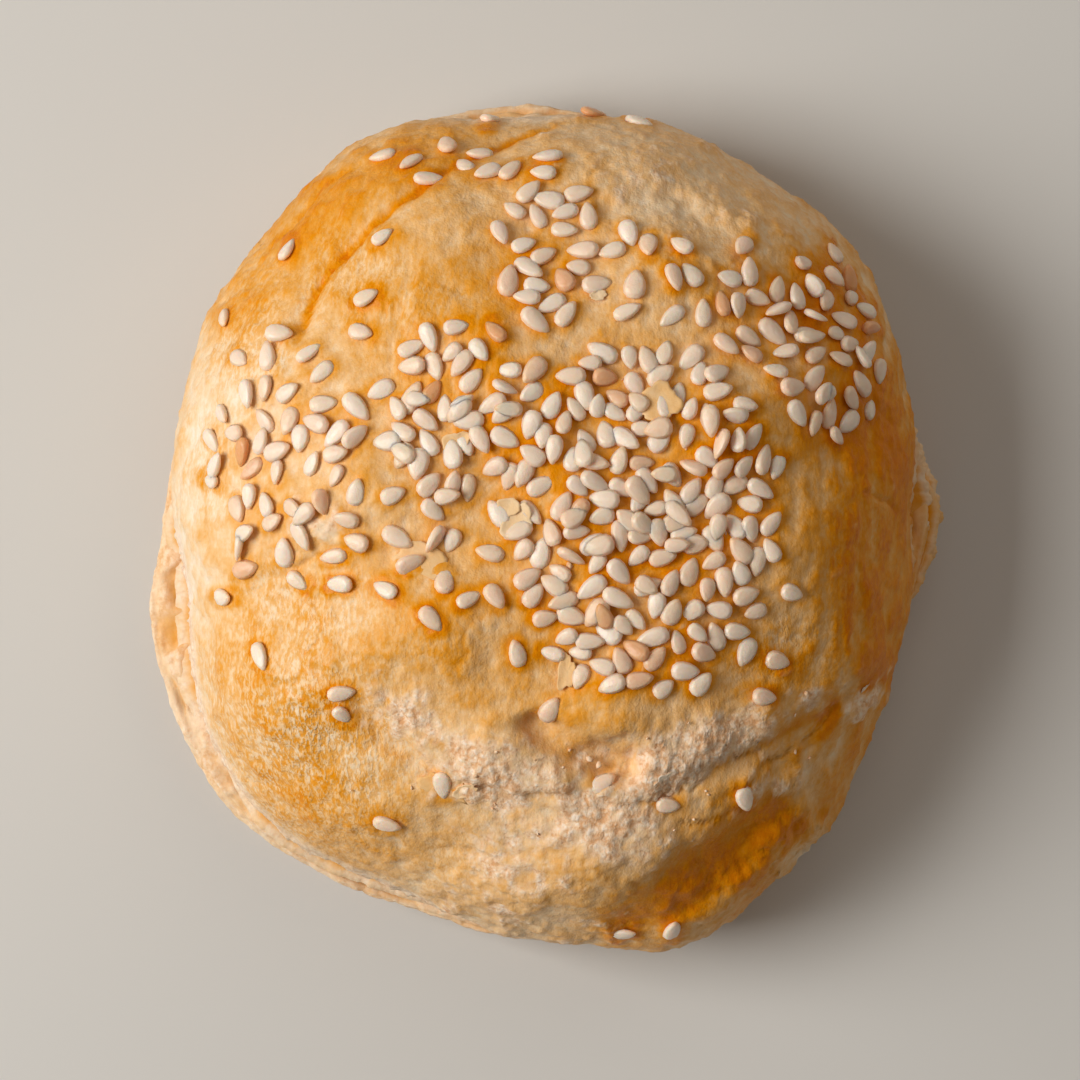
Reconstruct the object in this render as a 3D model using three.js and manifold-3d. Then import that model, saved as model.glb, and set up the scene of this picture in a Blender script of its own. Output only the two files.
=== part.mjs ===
// A round cheese pastry: laminated dough closed over its filling, egg-washed, strewn with sesame
// and baked until it has puffed up. It is one solid. The glazed top sheet ends in a lip, the
// layers of the dough open below it in ledges, and the underside is flat. The sesame is fused on.
// Millimetres and degrees, +Z up. The origin is the middle of the flat underside. Angles run
// anticlockwise from +X, as seen from above.
import * as THREE from "three";
import { mergeVertices } from "three/addons/utils/BufferGeometryUtils.js";
import Module from "manifold-3d";

// Sizes of the whole bun.
const CROWN_HEIGHT = 34;
const HALF_WIDTH = 38.6;
const HALF_LENGTH = 42.2;
const RIM_HEIGHT = 9;
const FOOT_TUCK = 6.5;
const DOME_FULLNESS = 3.2;
const DOME_ROUNDING = 0.6;
const OUTLINE_MIDDLE = [-0.11, 0.17];

// Where the top sheet bulges past its oval, or draws in, each over a stretch of the rim.
const RIM_SWELLS = [
  { at: 0, spread: 7, out: -1.4 },
  { at: 42, spread: 13, out: 2.5 },
  { at: 70, spread: 7, out: 0.9 },
  { at: 95, spread: 6, out: -0.8 },
  { at: 116, spread: 11, out: 2.1 },
  { at: 146, spread: 8, out: 0.9 },
  { at: 190, spread: 10, out: -1.8 },
  { at: 219, spread: 10, out: 0.8 },
  { at: 250, spread: 10, out: -1.9 },
  { at: 291, spread: 9, out: 3.2 },
  { at: 313, spread: 7, out: 1.3 },
  { at: 341, spread: 8, out: -0.4 },
];

// How far the lower layers reach past the top sheet: under it all round, and out where they open.
const SKIRT_SET_BACK = 0.8;
const SKIRT_SWELLS = [
  { at: 2, spread: 6.5, out: 2.9 },
  { at: 94, spread: 8, out: 2.7 },
  { at: 193, spread: 10, out: 4.2 },
  { at: 217, spread: 12, out: 2.6 },
  { at: 246, spread: 12, out: 2.5 },
  { at: 268, spread: 8, out: 0.9 },
];

// Where the rim stands higher, because the layers under it have opened.
const RIM_LIFTS = [
  { at: 2, spread: 14, out: 2.0 },
  { at: 95, spread: 16, out: 1.5 },
  { at: 207, spread: 28, out: 2.6 },
];

// The layers below the rim. A level is a share of the way down from the rim to the underside.
const LIP_LEVEL = 0.12;
const LEDGE_LEVEL = 0.36;
const SLOT_LEVELS = [0.2, 0.5, 0.75];
const SLOT_DEPTH = 1.8;
const SLOT_HALF_LEVEL = 0.045;
const LAYER_BULGE = 0.5;
const LAYER_SWING = 0.45;
const FOOT_LEVEL = 0.9;

// Swellings and hollows of the top: middle, radius and height.
const LUMPS = [
  { x: 6.6, y: -18.1, radius: 5, height: 0.9 },
  { x: -9.2, y: -13.1, radius: 8, height: 0.8 },
  { x: 3.7, y: -34.5, radius: 8, height: 1.2 },
  { x: 16, y: 33.5, radius: 8, height: 0.9 },
  { x: 5.6, y: 23.5, radius: 8, height: -0.8 },
  { x: -4.2, y: 3.7, radius: 3.5, height: -0.7 },
  { x: 31.5, y: 10.7, radius: 4, height: -0.9 },
  { x: -21, y: 17, radius: 6, height: -0.6 },
  { x: -27, y: -20, radius: 7, height: 0.7 },
];

// Creases of the top, each a curve bent towards its middle control point. drop is how much lower
// the dough lies on the curve's right-hand side, over the run beside it.
const CREASES = [
  { from: [-24.5, 17], bend: [-22, 31.5], to: [3.7, 41.5], depth: 0.8, half: 0.9, drop: -0.7, run: 5 },
  { from: [-19, -16.1], bend: [-11.4, -26.8], to: [4.6, -28.8], depth: 0.7, half: 1.0, drop: 0.5, run: 5 },
  { from: [-1.3, -17.6], bend: [0.6, -22.8], to: [10.6, -23], depth: 1.9, half: 1.9, drop: 0.8, run: 6 },
  { from: [7.6, -27.7], bend: [23.3, -20.6], to: [35.5, -14.2], depth: 0.9, half: 1.1, drop: 1.1, run: 6 },
  { from: [4.2, -41.6], bend: [17.6, -34.7], to: [25.6, -27.2], depth: 1.0, half: 2.6, drop: 0, run: 4 },
  { from: [20.1, -23.8], bend: [27.2, -21.5], to: [29.1, -16.4], depth: 0.6, half: 0.8, drop: 0, run: 4 },
];
const CREASE_STEPS = 24;
const CREASE_RUN_OUT = 0.12;

// Long soft waves that keep the crown from being a perfect dome.
const WAVE_HEIGHT = 0.3;
const WAVES = [
  [0.31, 0.17, 0.4],
  [-0.21, 0.36, 2.1],
  [0.12, -0.43, 4.4],
];
const RELIEF_FADE = 0.9;

// Sesame.
const SEED_LENGTH = 3.05;
const SEED_WIDTH = 1.85;
const SEED_THICKNESS = 0.98;
const SEED_POINT = 0.36;
const SEED_SINK = 0.12;
const SEED_TILT = 0.22;
const SEED_SIZE_RANGE = [0.88, 1.12];
const SEED_SPOT = 0.7;
const SEED_GAP = 2.5;
const SEED_REACH_LIMIT = 0.93;
const SEED_TRIES = 80;
const RANDOM_START = 20417;

// Seeds that fell by themselves: place and heading.
const LONE_SEEDS = [
  [-25.4, 27.6, 80],
  [-15.7, 28.4, 40],
  [-17.2, 22.4, 25],
  [-17.8, 19.0, -15],
  [-31.8, 20.8, -50],
  [-27.6, -12.8, -65],
  [-19.7, -18.2, -50],
  [-15.4, -29.1, -10],
  [-9.9, -25.2, -85],
  [5.8, -25.0, 35],
  [12.2, -27.3, -5],
  [19.6, -26.6, -70],
  [8.1, -40.6, 25],
  [12.8, -39.9, 85],
  [0.7, -17.7, 60],
  [24.2, -6.4, -20],
  [22.8, -13.1, -15],
  [21.4, -16.6, -8],
  [-5.3, 41.0, 60],
  [5.1, 41.8, 25],
  [9.7, 41.0, -35],
];

// Where the sesame fell thickest: middle, half sizes, and how many lie well apart there.
const SEED_PATCHES = [
  { x: 9.0, y: 1.0, halfX: 14.8, halfY: 16.6, count: 44 },
  { x: 28.2, y: 18.3, halfX: 6.5, halfY: 9, count: 13 },
  { x: -25.3, y: 8.8, halfX: 7, halfY: 10.5, count: 13 },
  { x: -26.4, y: -5, halfX: 7.5, halfY: 4.5, count: 5 },
  { x: -0.3, y: 29, halfX: 5, halfY: 9, count: 8 },
  { x: -11.1, y: 9.6, halfX: 9, halfY: 8, count: 12 },
  { x: 11.5, y: 22.5, halfX: 9.5, halfY: 6, count: 8 },
  { x: -9.4, y: 37, halfX: 8, halfY: 2.6, count: 4 },
  { x: 8, y: -10, halfX: 13, halfY: 6.5, count: 12 },
];

// How finely the solid is cut into faces.
const FULL_RING = 80;
const CROWN_RINGS = [
  { reach: 0.055, points: 10 },
  { reach: 0.11, points: 20 },
  { reach: 0.165, points: 20 },
  { reach: 0.22, points: 40 },
  { reach: 0.275, points: 40 },
  { reach: 0.33, points: 40 },
  { reach: 0.385, points: 40 },
];
const OUTER_REACHES = [0.45, 0.51, 0.57, 0.63, 0.69, 0.75, 0.81, 0.87, 0.92, 0.96, 0.985, 1];
const SEED_SIDES = 6;
const SEED_BANDS = 3;

const CRUST_COLOUR = 0xd9984a;

const radians = THREE.MathUtils.degToRad;
const smooth = THREE.MathUtils.smoothstep;

/** The sum of swells at an angle: each is a bell over its stretch of the rim. */
function swellAt(swells, angle) {
  let out = 0;
  for (const swell of swells) {
    const turn = angle - radians(swell.at);
    const away = Math.atan2(Math.sin(turn), Math.cos(turn)) / radians(swell.spread);
    out += swell.out * Math.exp(-0.5 * away * away);
  }
  return out;
}

/** Distance from the middle to the top sheet's rim. */
function rimRadius(angle) {
  const oval = 1 / Math.hypot(Math.cos(angle) / HALF_WIDTH, Math.sin(angle) / HALF_LENGTH);
  return oval + swellAt(RIM_SWELLS, angle);
}

/** Height of the rim over the tray. */
function rimHeight(angle) {
  return RIM_HEIGHT + swellAt(RIM_LIFTS, angle) + 0.5 * Math.sin(3 * angle + 0.8);
}

/** Nearest point of a crease: distance, share of the way along it, and side (+1 is right). */
function nearestOnCrease(crease, x, y) {
  let best = { distance: Infinity, along: 0, side: 1 };
  let [fromX, fromY] = crease.from;
  for (let step = 1; step <= CREASE_STEPS; step++) {
    const t = step / CREASE_STEPS;
    const weights = [(1 - t) * (1 - t), 2 * t * (1 - t), t * t];
    const toX = weights[0] * crease.from[0] + weights[1] * crease.bend[0] + weights[2] * crease.to[0];
    const toY = weights[0] * crease.from[1] + weights[1] * crease.bend[1] + weights[2] * crease.to[1];
    const runX = toX - fromX;
    const runY = toY - fromY;
    const share = ((x - fromX) * runX + (y - fromY) * runY) / (runX * runX + runY * runY);
    const held = Math.min(1, Math.max(0, share));
    const distance = Math.hypot(x - fromX - held * runX, y - fromY - held * runY);
    if (distance < best.distance) {
      const side = (x - fromX) * runY - (y - fromY) * runX >= 0 ? 1 : -1;
      best = { distance, along: (step - 1 + held) / CREASE_STEPS, side };
    }
    [fromX, fromY] = [toX, toY];
  }
  return best;
}

/** What one crease adds to the height at a place: its furrow, and the step between its sides. */
function creaseHeight(crease, x, y) {
  const { distance, along, side } = nearestOnCrease(crease, x, y);
  const ends = smooth(along, 0, CREASE_RUN_OUT) * (1 - smooth(along, 1 - CREASE_RUN_OUT, 1));
  const furrow = -crease.depth * Math.exp(-((distance / crease.half) ** 2));
  const ramp = Math.min(1, distance / crease.half) * Math.exp(-distance / crease.run);
  return ends * (furrow - 0.5 * side * crease.drop * ramp);
}

/** Lumps, waves and creases of the top at a place. */
function relief(x, y) {
  let height = 0;
  for (const [alongX, alongY, start] of WAVES) {
    height += WAVE_HEIGHT * Math.sin(alongX * x + alongY * y + start);
  }
  for (const lump of LUMPS) {
    const away = Math.hypot(x - lump.x, y - lump.y) / lump.radius;
    height += lump.height * Math.exp(-away * away);
  }
  for (const crease of CREASES) {
    height += creaseHeight(crease, x, y);
  }
  return height;
}

/** Height of the top sheet at an angle, and at a share of the way out to the rim. */
function crownHeight(angle, reach) {
  const rim = rimHeight(angle);
  const dome = Math.max(0, 1 - reach ** DOME_FULLNESS) ** DOME_ROUNDING;
  const radius = reach * rimRadius(angle);
  const fade = 1 - smooth(reach, RELIEF_FADE, 1);
  const low = relief(radius * Math.cos(angle), radius * Math.sin(angle));
  return rim + (CROWN_HEIGHT - rim) * dome + fade * low;
}

/** Height of the top sheet over a place. */
function heightOver(x, y) {
  const angle = Math.atan2(y, x);
  return crownHeight(angle, Math.min(1, Math.hypot(x, y) / rimRadius(angle)));
}

/** Level of the middle of a slot between two layers. It wanders as the layers do. */
function slotLevel(slot, angle) {
  const wander = 0.03 * Math.sin(3 * angle + 1.3 * slot) + 0.015 * Math.sin(7 * angle + 2.1 * slot);
  return SLOT_LEVELS[slot] + wander;
}

/** Depth of a slot: deepest where the skirt stands out, nearly shut elsewhere. */
function slotDepth(slot, angle) {
  const open = smooth(swellAt(SKIRT_SWELLS, angle), 0.5, 3.5);
  return SLOT_DEPTH * (0.4 + 0.6 * open) * (0.8 + 0.2 * Math.sin(4 * angle + 2.4 * slot));
}

/** Distance from the middle to the side, at a level below the rim. */
function sideRadius(angle, level) {
  const skirt = rimRadius(angle) - SKIRT_SET_BACK + swellAt(SKIRT_SWELLS, angle);
  const under = smooth(level, LIP_LEVEL, LEDGE_LEVEL);
  let radius = rimRadius(angle) * (1 - under) + skirt * under - FOOT_TUCK * level ** 3.5;
  let roof = 0;
  for (let slot = 0; slot <= SLOT_LEVELS.length; slot++) {
    const floor = slot < SLOT_LEVELS.length ? slotLevel(slot, angle) : 1;
    if (slot < SLOT_LEVELS.length) {
      radius -= slotDepth(slot, angle) * Math.exp(-(((level - floor) / SLOT_HALF_LEVEL) ** 2));
    }
    if (slot > 0 && level > roof && level < floor) {
      const bulge = LAYER_BULGE + LAYER_SWING * Math.sin(2 * angle + 1.9 * slot);
      radius += bulge * Math.sin((Math.PI * (level - roof)) / (floor - roof));
    }
    roof = floor;
  }
  return radius;
}

/** Levels of the rings down the side: both shoulders and the bottom of each slot, and each layer. */
function sideLevels(angle) {
  const levels = [];
  for (let slot = 0; slot < SLOT_LEVELS.length; slot++) {
    const middle = slotLevel(slot, angle);
    if (slot > 0) {
      levels.push(0.5 * (middle + slotLevel(slot - 1, angle)));
    }
    levels.push(middle - 1.7 * SLOT_HALF_LEVEL, middle, middle + 1.7 * SLOT_HALF_LEVEL);
  }
  levels.push(FOOT_LEVEL, 1);
  return levels;
}

/** Every ring of the crust from the top down, as a list of its points. */
function crustRings() {
  const rings = [];
  const point = (radius, angle, height) =>
    [radius * Math.cos(angle) - OUTLINE_MIDDLE[0], radius * Math.sin(angle) - OUTLINE_MIDDLE[1], height];
  const angles = (count) => Array.from({ length: count }, (_, i) => (2 * Math.PI * i) / count);
  const crown = [...CROWN_RINGS, ...OUTER_REACHES.map((reach) => ({ reach, points: FULL_RING }))];
  for (const { reach, points } of crown) {
    rings.push(angles(points).map((a) => point(reach * rimRadius(a), a, crownHeight(a, reach))));
  }
  const stations = sideLevels(0).length;
  for (let i = 0; i < stations; i++) {
    rings.push(
      angles(FULL_RING).map((a) => {
        const level = sideLevels(a)[i];
        return point(sideRadius(a, level), a, rimHeight(a) * (1 - level));
      }),
    );
  }
  return rings;
}

/** Faces between two rings, where the lower has as many points as the upper, or twice as many. */
function stitch(faces, upper, lower) {
  const ratio = lower.count / upper.count;
  for (let i = 0; i < upper.count; i++) {
    const a = upper.start + i;
    const b = upper.start + ((i + 1) % upper.count);
    for (let j = 0; j < ratio; j++) {
      const c = lower.start + ((i * ratio + j) % lower.count);
      const d = lower.start + ((i * ratio + j + 1) % lower.count);
      faces.push(a, c, d);
    }
    faces.push(a, lower.start + (((i + 1) * ratio) % lower.count), b);
  }
}

/** The crust without its sesame, as one closed geometry. */
function crustGeometry() {
  const rings = crustRings();
  const places = [[-OUTLINE_MIDDLE[0], -OUTLINE_MIDDLE[1], crownHeight(0, 0)]];
  const spans = rings.map((ring) => {
    const span = { start: places.length, count: ring.length };
    places.push(...ring);
    return span;
  });
  const foot = places.length;
  places.push([0, 0, 0]);
  const faces = [];
  const first = spans[0];
  const last = spans[spans.length - 1];
  for (let i = 0; i < first.count; i++) {
    faces.push(0, first.start + i, first.start + ((i + 1) % first.count));
  }
  for (let i = 1; i < spans.length; i++) {
    stitch(faces, spans[i - 1], spans[i]);
  }
  for (let i = 0; i < last.count; i++) {
    faces.push(foot, last.start + ((i + 1) % last.count), last.start + i);
  }
  const geometry = new THREE.BufferGeometry();
  geometry.setAttribute("position", new THREE.Float32BufferAttribute(places.flat(), 3));
  geometry.setIndex(faces);
  return geometry;
}

/** Random numbers from 0 to 1 that are the same on every run. */
function makeRandom(start) {
  const factor = 48271;
  const modulus = 2147483647;
  let state = start;
  return () => {
    state = (state * factor) % modulus;
    return state / modulus;
  };
}

/** The two spots on a seed's length that keep it off its neighbours. */
function seedSpots({ x, y, heading }) {
  const alongX = SEED_SPOT * Math.cos(heading);
  const alongY = SEED_SPOT * Math.sin(heading);
  return [
    [x + alongX, y + alongY],
    [x - alongX, y - alongY],
  ];
}

/** Whether two seeds lie clear of each other. */
function liesClear(seed, other) {
  if (Math.hypot(seed.x - other.x, seed.y - other.y) > SEED_LENGTH + SEED_GAP) {
    return true;
  }
  const spots = seedSpots(other);
  return seedSpots(seed).every(([x, y]) => spots.every(([u, v]) => Math.hypot(x - u, y - v) > SEED_GAP));
}

/** Places, headings, sizes and tilts of the seeds that lie apart. */
function scatterSeeds() {
  const random = makeRandom(RANDOM_START);
  const [low, high] = SEED_SIZE_RANGE;
  const makeSeed = (x, y, heading) => ({
    x,
    y,
    heading,
    size: low + (high - low) * random(),
    tip: SEED_TILT * (2 * random() - 1),
    roll: SEED_TILT * (2 * random() - 1),
  });
  const seeds = LONE_SEEDS.map(([x, y, heading]) => makeSeed(x, y, radians(heading)));
  for (const patch of SEED_PATCHES) {
    let missing = patch.count;
    for (let tries = 0; tries < SEED_TRIES * patch.count && missing > 0; tries++) {
      const around = 2 * Math.PI * random();
      const out = random() ** 0.6;
      const x = patch.x + patch.halfX * out * Math.cos(around);
      const y = patch.y + patch.halfY * out * Math.sin(around);
      const seed = makeSeed(x, y, 2 * Math.PI * random());
      const inside = Math.hypot(x, y) < SEED_REACH_LIMIT * rimRadius(Math.atan2(y, x));
      if (inside && seeds.every((other) => liesClear(seed, other))) {
        seeds.push(seed);
        missing -= 1;
      }
    }
  }
  return seeds;
}

/** One seed at its place: a flat drop, half sunk where the wash holds it. */
function seedGeometry(seed) {
  const geometry = new THREE.SphereGeometry(1, SEED_SIDES, SEED_BANDS);
  const position = geometry.getAttribute("position");
  for (let i = 0; i < position.count; i++) {
    const along = position.getY(i);
    const narrow = 1 - SEED_POINT * along;
    position.setXYZ(
      i,
      0.5 * SEED_WIDTH * narrow * position.getX(i),
      0.5 * SEED_LENGTH * along,
      0.5 * SEED_THICKNESS * narrow * position.getZ(i),
    );
  }
  geometry.scale(seed.size, seed.size, seed.size);
  geometry.rotateZ(-Math.PI / 2);
  const step = 0.6;
  const slopeX = (heightOver(seed.x + step, seed.y) - heightOver(seed.x - step, seed.y)) / (2 * step);
  const slopeY = (heightOver(seed.x, seed.y + step) - heightOver(seed.x, seed.y - step)) / (2 * step);
  const normal = new THREE.Vector3(-slopeX, -slopeY, 1).normalize();
  const lie = new THREE.Quaternion().setFromUnitVectors(new THREE.Vector3(0, 0, 1), normal);
  const angles = new THREE.Euler(seed.tip, seed.roll, seed.heading, "ZYX");
  const turn = new THREE.Quaternion().setFromEuler(angles);
  geometry.applyQuaternion(lie.multiply(turn));
  const lift = 0.5 * SEED_THICKNESS - SEED_SINK - 0.25 * SEED_THICKNESS;
  geometry.translate(
    seed.x - OUTLINE_MIDDLE[0] + lift * normal.x,
    seed.y - OUTLINE_MIDDLE[1] + lift * normal.y,
    heightOver(seed.x, seed.y) + lift * normal.z,
  );
  return geometry;
}

const wasm = await Module();
wasm.setup();

/** A closed geometry as a solid that can be joined to others. */
function toSolid(geometry) {
  const bare = geometry.clone();
  bare.deleteAttribute("normal");
  bare.deleteAttribute("uv");
  const merged = mergeVertices(bare, 1e-4);
  return new wasm.Manifold(
    new wasm.Mesh({
      numProp: 3,
      vertProperties: new Float32Array(merged.getAttribute("position").array),
      triVerts: new Uint32Array(merged.getIndex().array),
    }),
  );
}

/** A joined solid as a geometry, with its normals. */
function toGeometry(solid) {
  const mesh = solid.getMesh();
  const geometry = new THREE.BufferGeometry();
  geometry.setAttribute("position", new THREE.Float32BufferAttribute(mesh.vertProperties, mesh.numProp));
  geometry.setIndex(new THREE.Uint32BufferAttribute(mesh.triVerts, 1));
  geometry.computeVertexNormals();
  return geometry;
}

let pastrySolid = toSolid(crustGeometry());
for (const seed of scatterSeeds()) {
  pastrySolid = pastrySolid.add(toSolid(seedGeometry(seed)));
}

const pastry = new THREE.Mesh(
  toGeometry(pastrySolid),
  new THREE.MeshStandardMaterial({ color: CRUST_COLOUR, roughness: 0.5, metalness: 0 }),
);
pastry.name = "pastry";

const group = new THREE.Group();
group.add(pastry);

export default group;
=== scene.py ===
"""A round cheese pastry, dressed for its render.

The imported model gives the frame. The pastry is built here again in fine detail from the same named
sizes: a glazed top sheet with its creases, flaps and cracks, the side where the layers of the
dough open, thin leaves standing out of it, scraps of skin, crumbs, and the sesame. Sizes are in
millimetres and degrees until a mesh is made, because Blender's own unit here is the metre. Angles
run anticlockwise from +X, as seen from above. Places are measured from the middle of the outline's
own oval, which is MIDDLE away from the middle of the frame.
"""

import logging
import math
from collections.abc import Callable
from dataclasses import dataclass, field
from enum import Enum

import bpy  # noqa: E402
import numpy as np  # noqa: E402
from mathutils import Matrix, Vector  # noqa: E402

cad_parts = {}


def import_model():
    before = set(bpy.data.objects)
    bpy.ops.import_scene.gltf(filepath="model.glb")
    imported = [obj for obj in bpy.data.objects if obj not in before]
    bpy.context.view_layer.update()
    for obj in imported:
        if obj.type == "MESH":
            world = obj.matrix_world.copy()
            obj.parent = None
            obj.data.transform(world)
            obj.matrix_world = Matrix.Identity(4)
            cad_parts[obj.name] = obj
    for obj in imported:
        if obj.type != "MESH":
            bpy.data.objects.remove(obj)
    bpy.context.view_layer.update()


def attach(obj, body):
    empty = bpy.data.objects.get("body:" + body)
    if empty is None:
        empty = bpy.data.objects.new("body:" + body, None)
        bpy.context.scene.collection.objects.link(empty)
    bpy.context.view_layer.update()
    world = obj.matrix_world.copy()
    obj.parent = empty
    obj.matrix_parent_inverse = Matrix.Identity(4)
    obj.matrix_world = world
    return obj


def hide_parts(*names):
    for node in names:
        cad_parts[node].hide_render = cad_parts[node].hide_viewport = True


LOG = logging.getLogger("cheese_pastry")
MM = 0.001
MIDDLE = (-0.11, 0.17)
Numbers = np.ndarray


class Lie(Enum):
    """How a seed lies on the crust."""

    FUSED = "half sunk in the wash, clear of its neighbours"
    LOOSE = "between others, on the crust"
    STACKED = "on top of other seeds"


# ---------------------------------------------------------------- small tools


def smooth(value: Numbers, low: float, high: float) -> Numbers:
    """A soft step.

    Args:
        value: Where to read it.
        low: Where it leaves 0.
        high: Where it reaches 1.

    Returns:
        Numbers from 0 to 1.
    """
    share = np.clip((value - low) / (high - low), 0.0, 1.0)
    return share * share * (3 - 2 * share)


def bell(distance: Numbers, width: float) -> Numbers:
    """1 at no distance, falling off softly over the width."""
    return np.exp(-((distance / width) ** 2))


def tint(red: int, green: int, blue: int) -> tuple[float, float, float, float]:
    """A colour as it looks on a screen, 0 to 255, as the linear colour that shaders take."""

    def linear(part: int) -> float:
        share = part / 255
        return share / 12.92 if share <= 0.04045 else ((share + 0.055) / 1.055) ** 2.4

    return (linear(red), linear(green), linear(blue), 1.0)


class Grain:
    """Seeded gradient noise in space, for relief and stains with no repeat."""

    cells = 256
    gain = 1.6
    layer_shift = 17.3

    def __init__(self, start: int) -> None:
        """Shuffles the lattice.

        Args:
            start: The seed of the shuffle.
        """
        source = np.random.default_rng(start)
        self.order = np.tile(source.permutation(self.cells), 2)
        lean = source.normal(size=(self.cells, 3))
        self.lean = lean / np.linalg.norm(lean, axis=1, keepdims=True)

    def at(self, places: Numbers) -> Numbers:
        """Reads the noise.

        Args:
            places: Rows of x, y and z, in cells of the lattice.

        Returns:
            One number a row, from about -1 to 1.
        """
        corner = np.floor(places).astype(int)
        inside = places - corner
        fade = inside**3 * (inside * (inside * 6 - 15) + 10)
        total = np.zeros(len(places))
        for dx in (0, 1):
            for dy in (0, 1):
                for dz in (0, 1):
                    step = np.array([dx, dy, dz])
                    x, y, z = ((corner + step) & (self.cells - 1)).T
                    lean = self.lean[self.order[self.order[self.order[x] + y] + z]]
                    pull = np.einsum("ij,ij->i", lean, inside - step)
                    share = np.abs(1 - step - fade)
                    total += pull * share.prod(axis=1)
        return self.gain * total

    def layered(self, places: Numbers, size: float, octaves: int = 3, keep: float = 0.5) -> Numbers:
        """Adds finer and finer noise.

        Args:
            places: Rows of x, y and z, in millimetres.
            size: Size of the largest cells, in millimetres.
            octaves: How many sizes are added, each half the last.
            keep: Strength of each against the last.

        Returns:
            One number a row, from about -1 to 1.
        """
        total = np.zeros(len(places))
        strength = 1.0
        for octave in range(octaves):
            total += strength * self.at(places * (2**octave / size) + self.layer_shift * octave)
            strength *= keep
        return total


@dataclass(frozen=True)
class Texture:
    """One kind of unevenness of the dough: how large, how finely layered and how drawn out it is."""

    size: float
    octaves: int = 3
    keep: float = 0.5
    stretch: tuple[float, float, float] = (1, 1, 1)
    shift: float = 0

    def read(self, grain: Grain, places: Numbers) -> Numbers:
        """Reads the unevenness at rows of x, y and z, from about -1 to 1."""
        drawn = places * np.array(self.stretch) + self.shift
        return grain.layered(drawn, self.size, self.octaves, self.keep)


@dataclass(frozen=True)
class Swell:
    """A bell over a stretch of the rim: how far out, at which angle, over what spread."""

    at: float
    spread: float
    out: float


@dataclass(frozen=True)
class Lump:
    """A round swelling or hollow of the top."""

    x: float
    y: float
    radius: float
    height: float


@dataclass(frozen=True)
class Crease:
    """A furrow along a bent line, with a step between its sides.

    drop is how much lower the dough lies on the line's right-hand side, over the run beside it.
    wash is how much glaze has run into it, over stain_half to each side.
    """

    start: tuple[float, float]
    bend: tuple[float, float]
    end: tuple[float, float]
    depth: float
    half: float
    drop: float = 0.0
    run: float = 4.0
    wash: float = 0.0
    stain_half: float = 0.4


@dataclass(frozen=True)
class Stain:
    """A soft oval patch of the crust that differs by an amount from what is round it."""

    x: float
    y: float
    half_x: float
    half_y: float
    turn: float
    amount: float

    def over(self, x: Numbers, y: Numbers) -> Numbers:
        """How strong the patch is at each place, from 0 to its amount."""
        return self.amount * np.exp(-self.away(x, y) ** 2)

    def away(self, x: Numbers, y: Numbers) -> Numbers:
        """Distance from the middle of the patch, in its own half sizes."""
        cos, sin = math.cos(math.radians(self.turn)), math.sin(math.radians(self.turn))
        along = (x - self.x) * cos + (y - self.y) * sin
        across = (y - self.y) * cos - (x - self.x) * sin
        return np.hypot(along / self.half_x, across / self.half_y)


@dataclass(frozen=True)
class Patch:
    """An oval where the sesame fell, thickest at its middle, and how many seeds came down there."""

    x: float
    y: float
    half_x: float
    half_y: float
    count: int


# ---------------------------------------------------------------- the form that the solid has too


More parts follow.
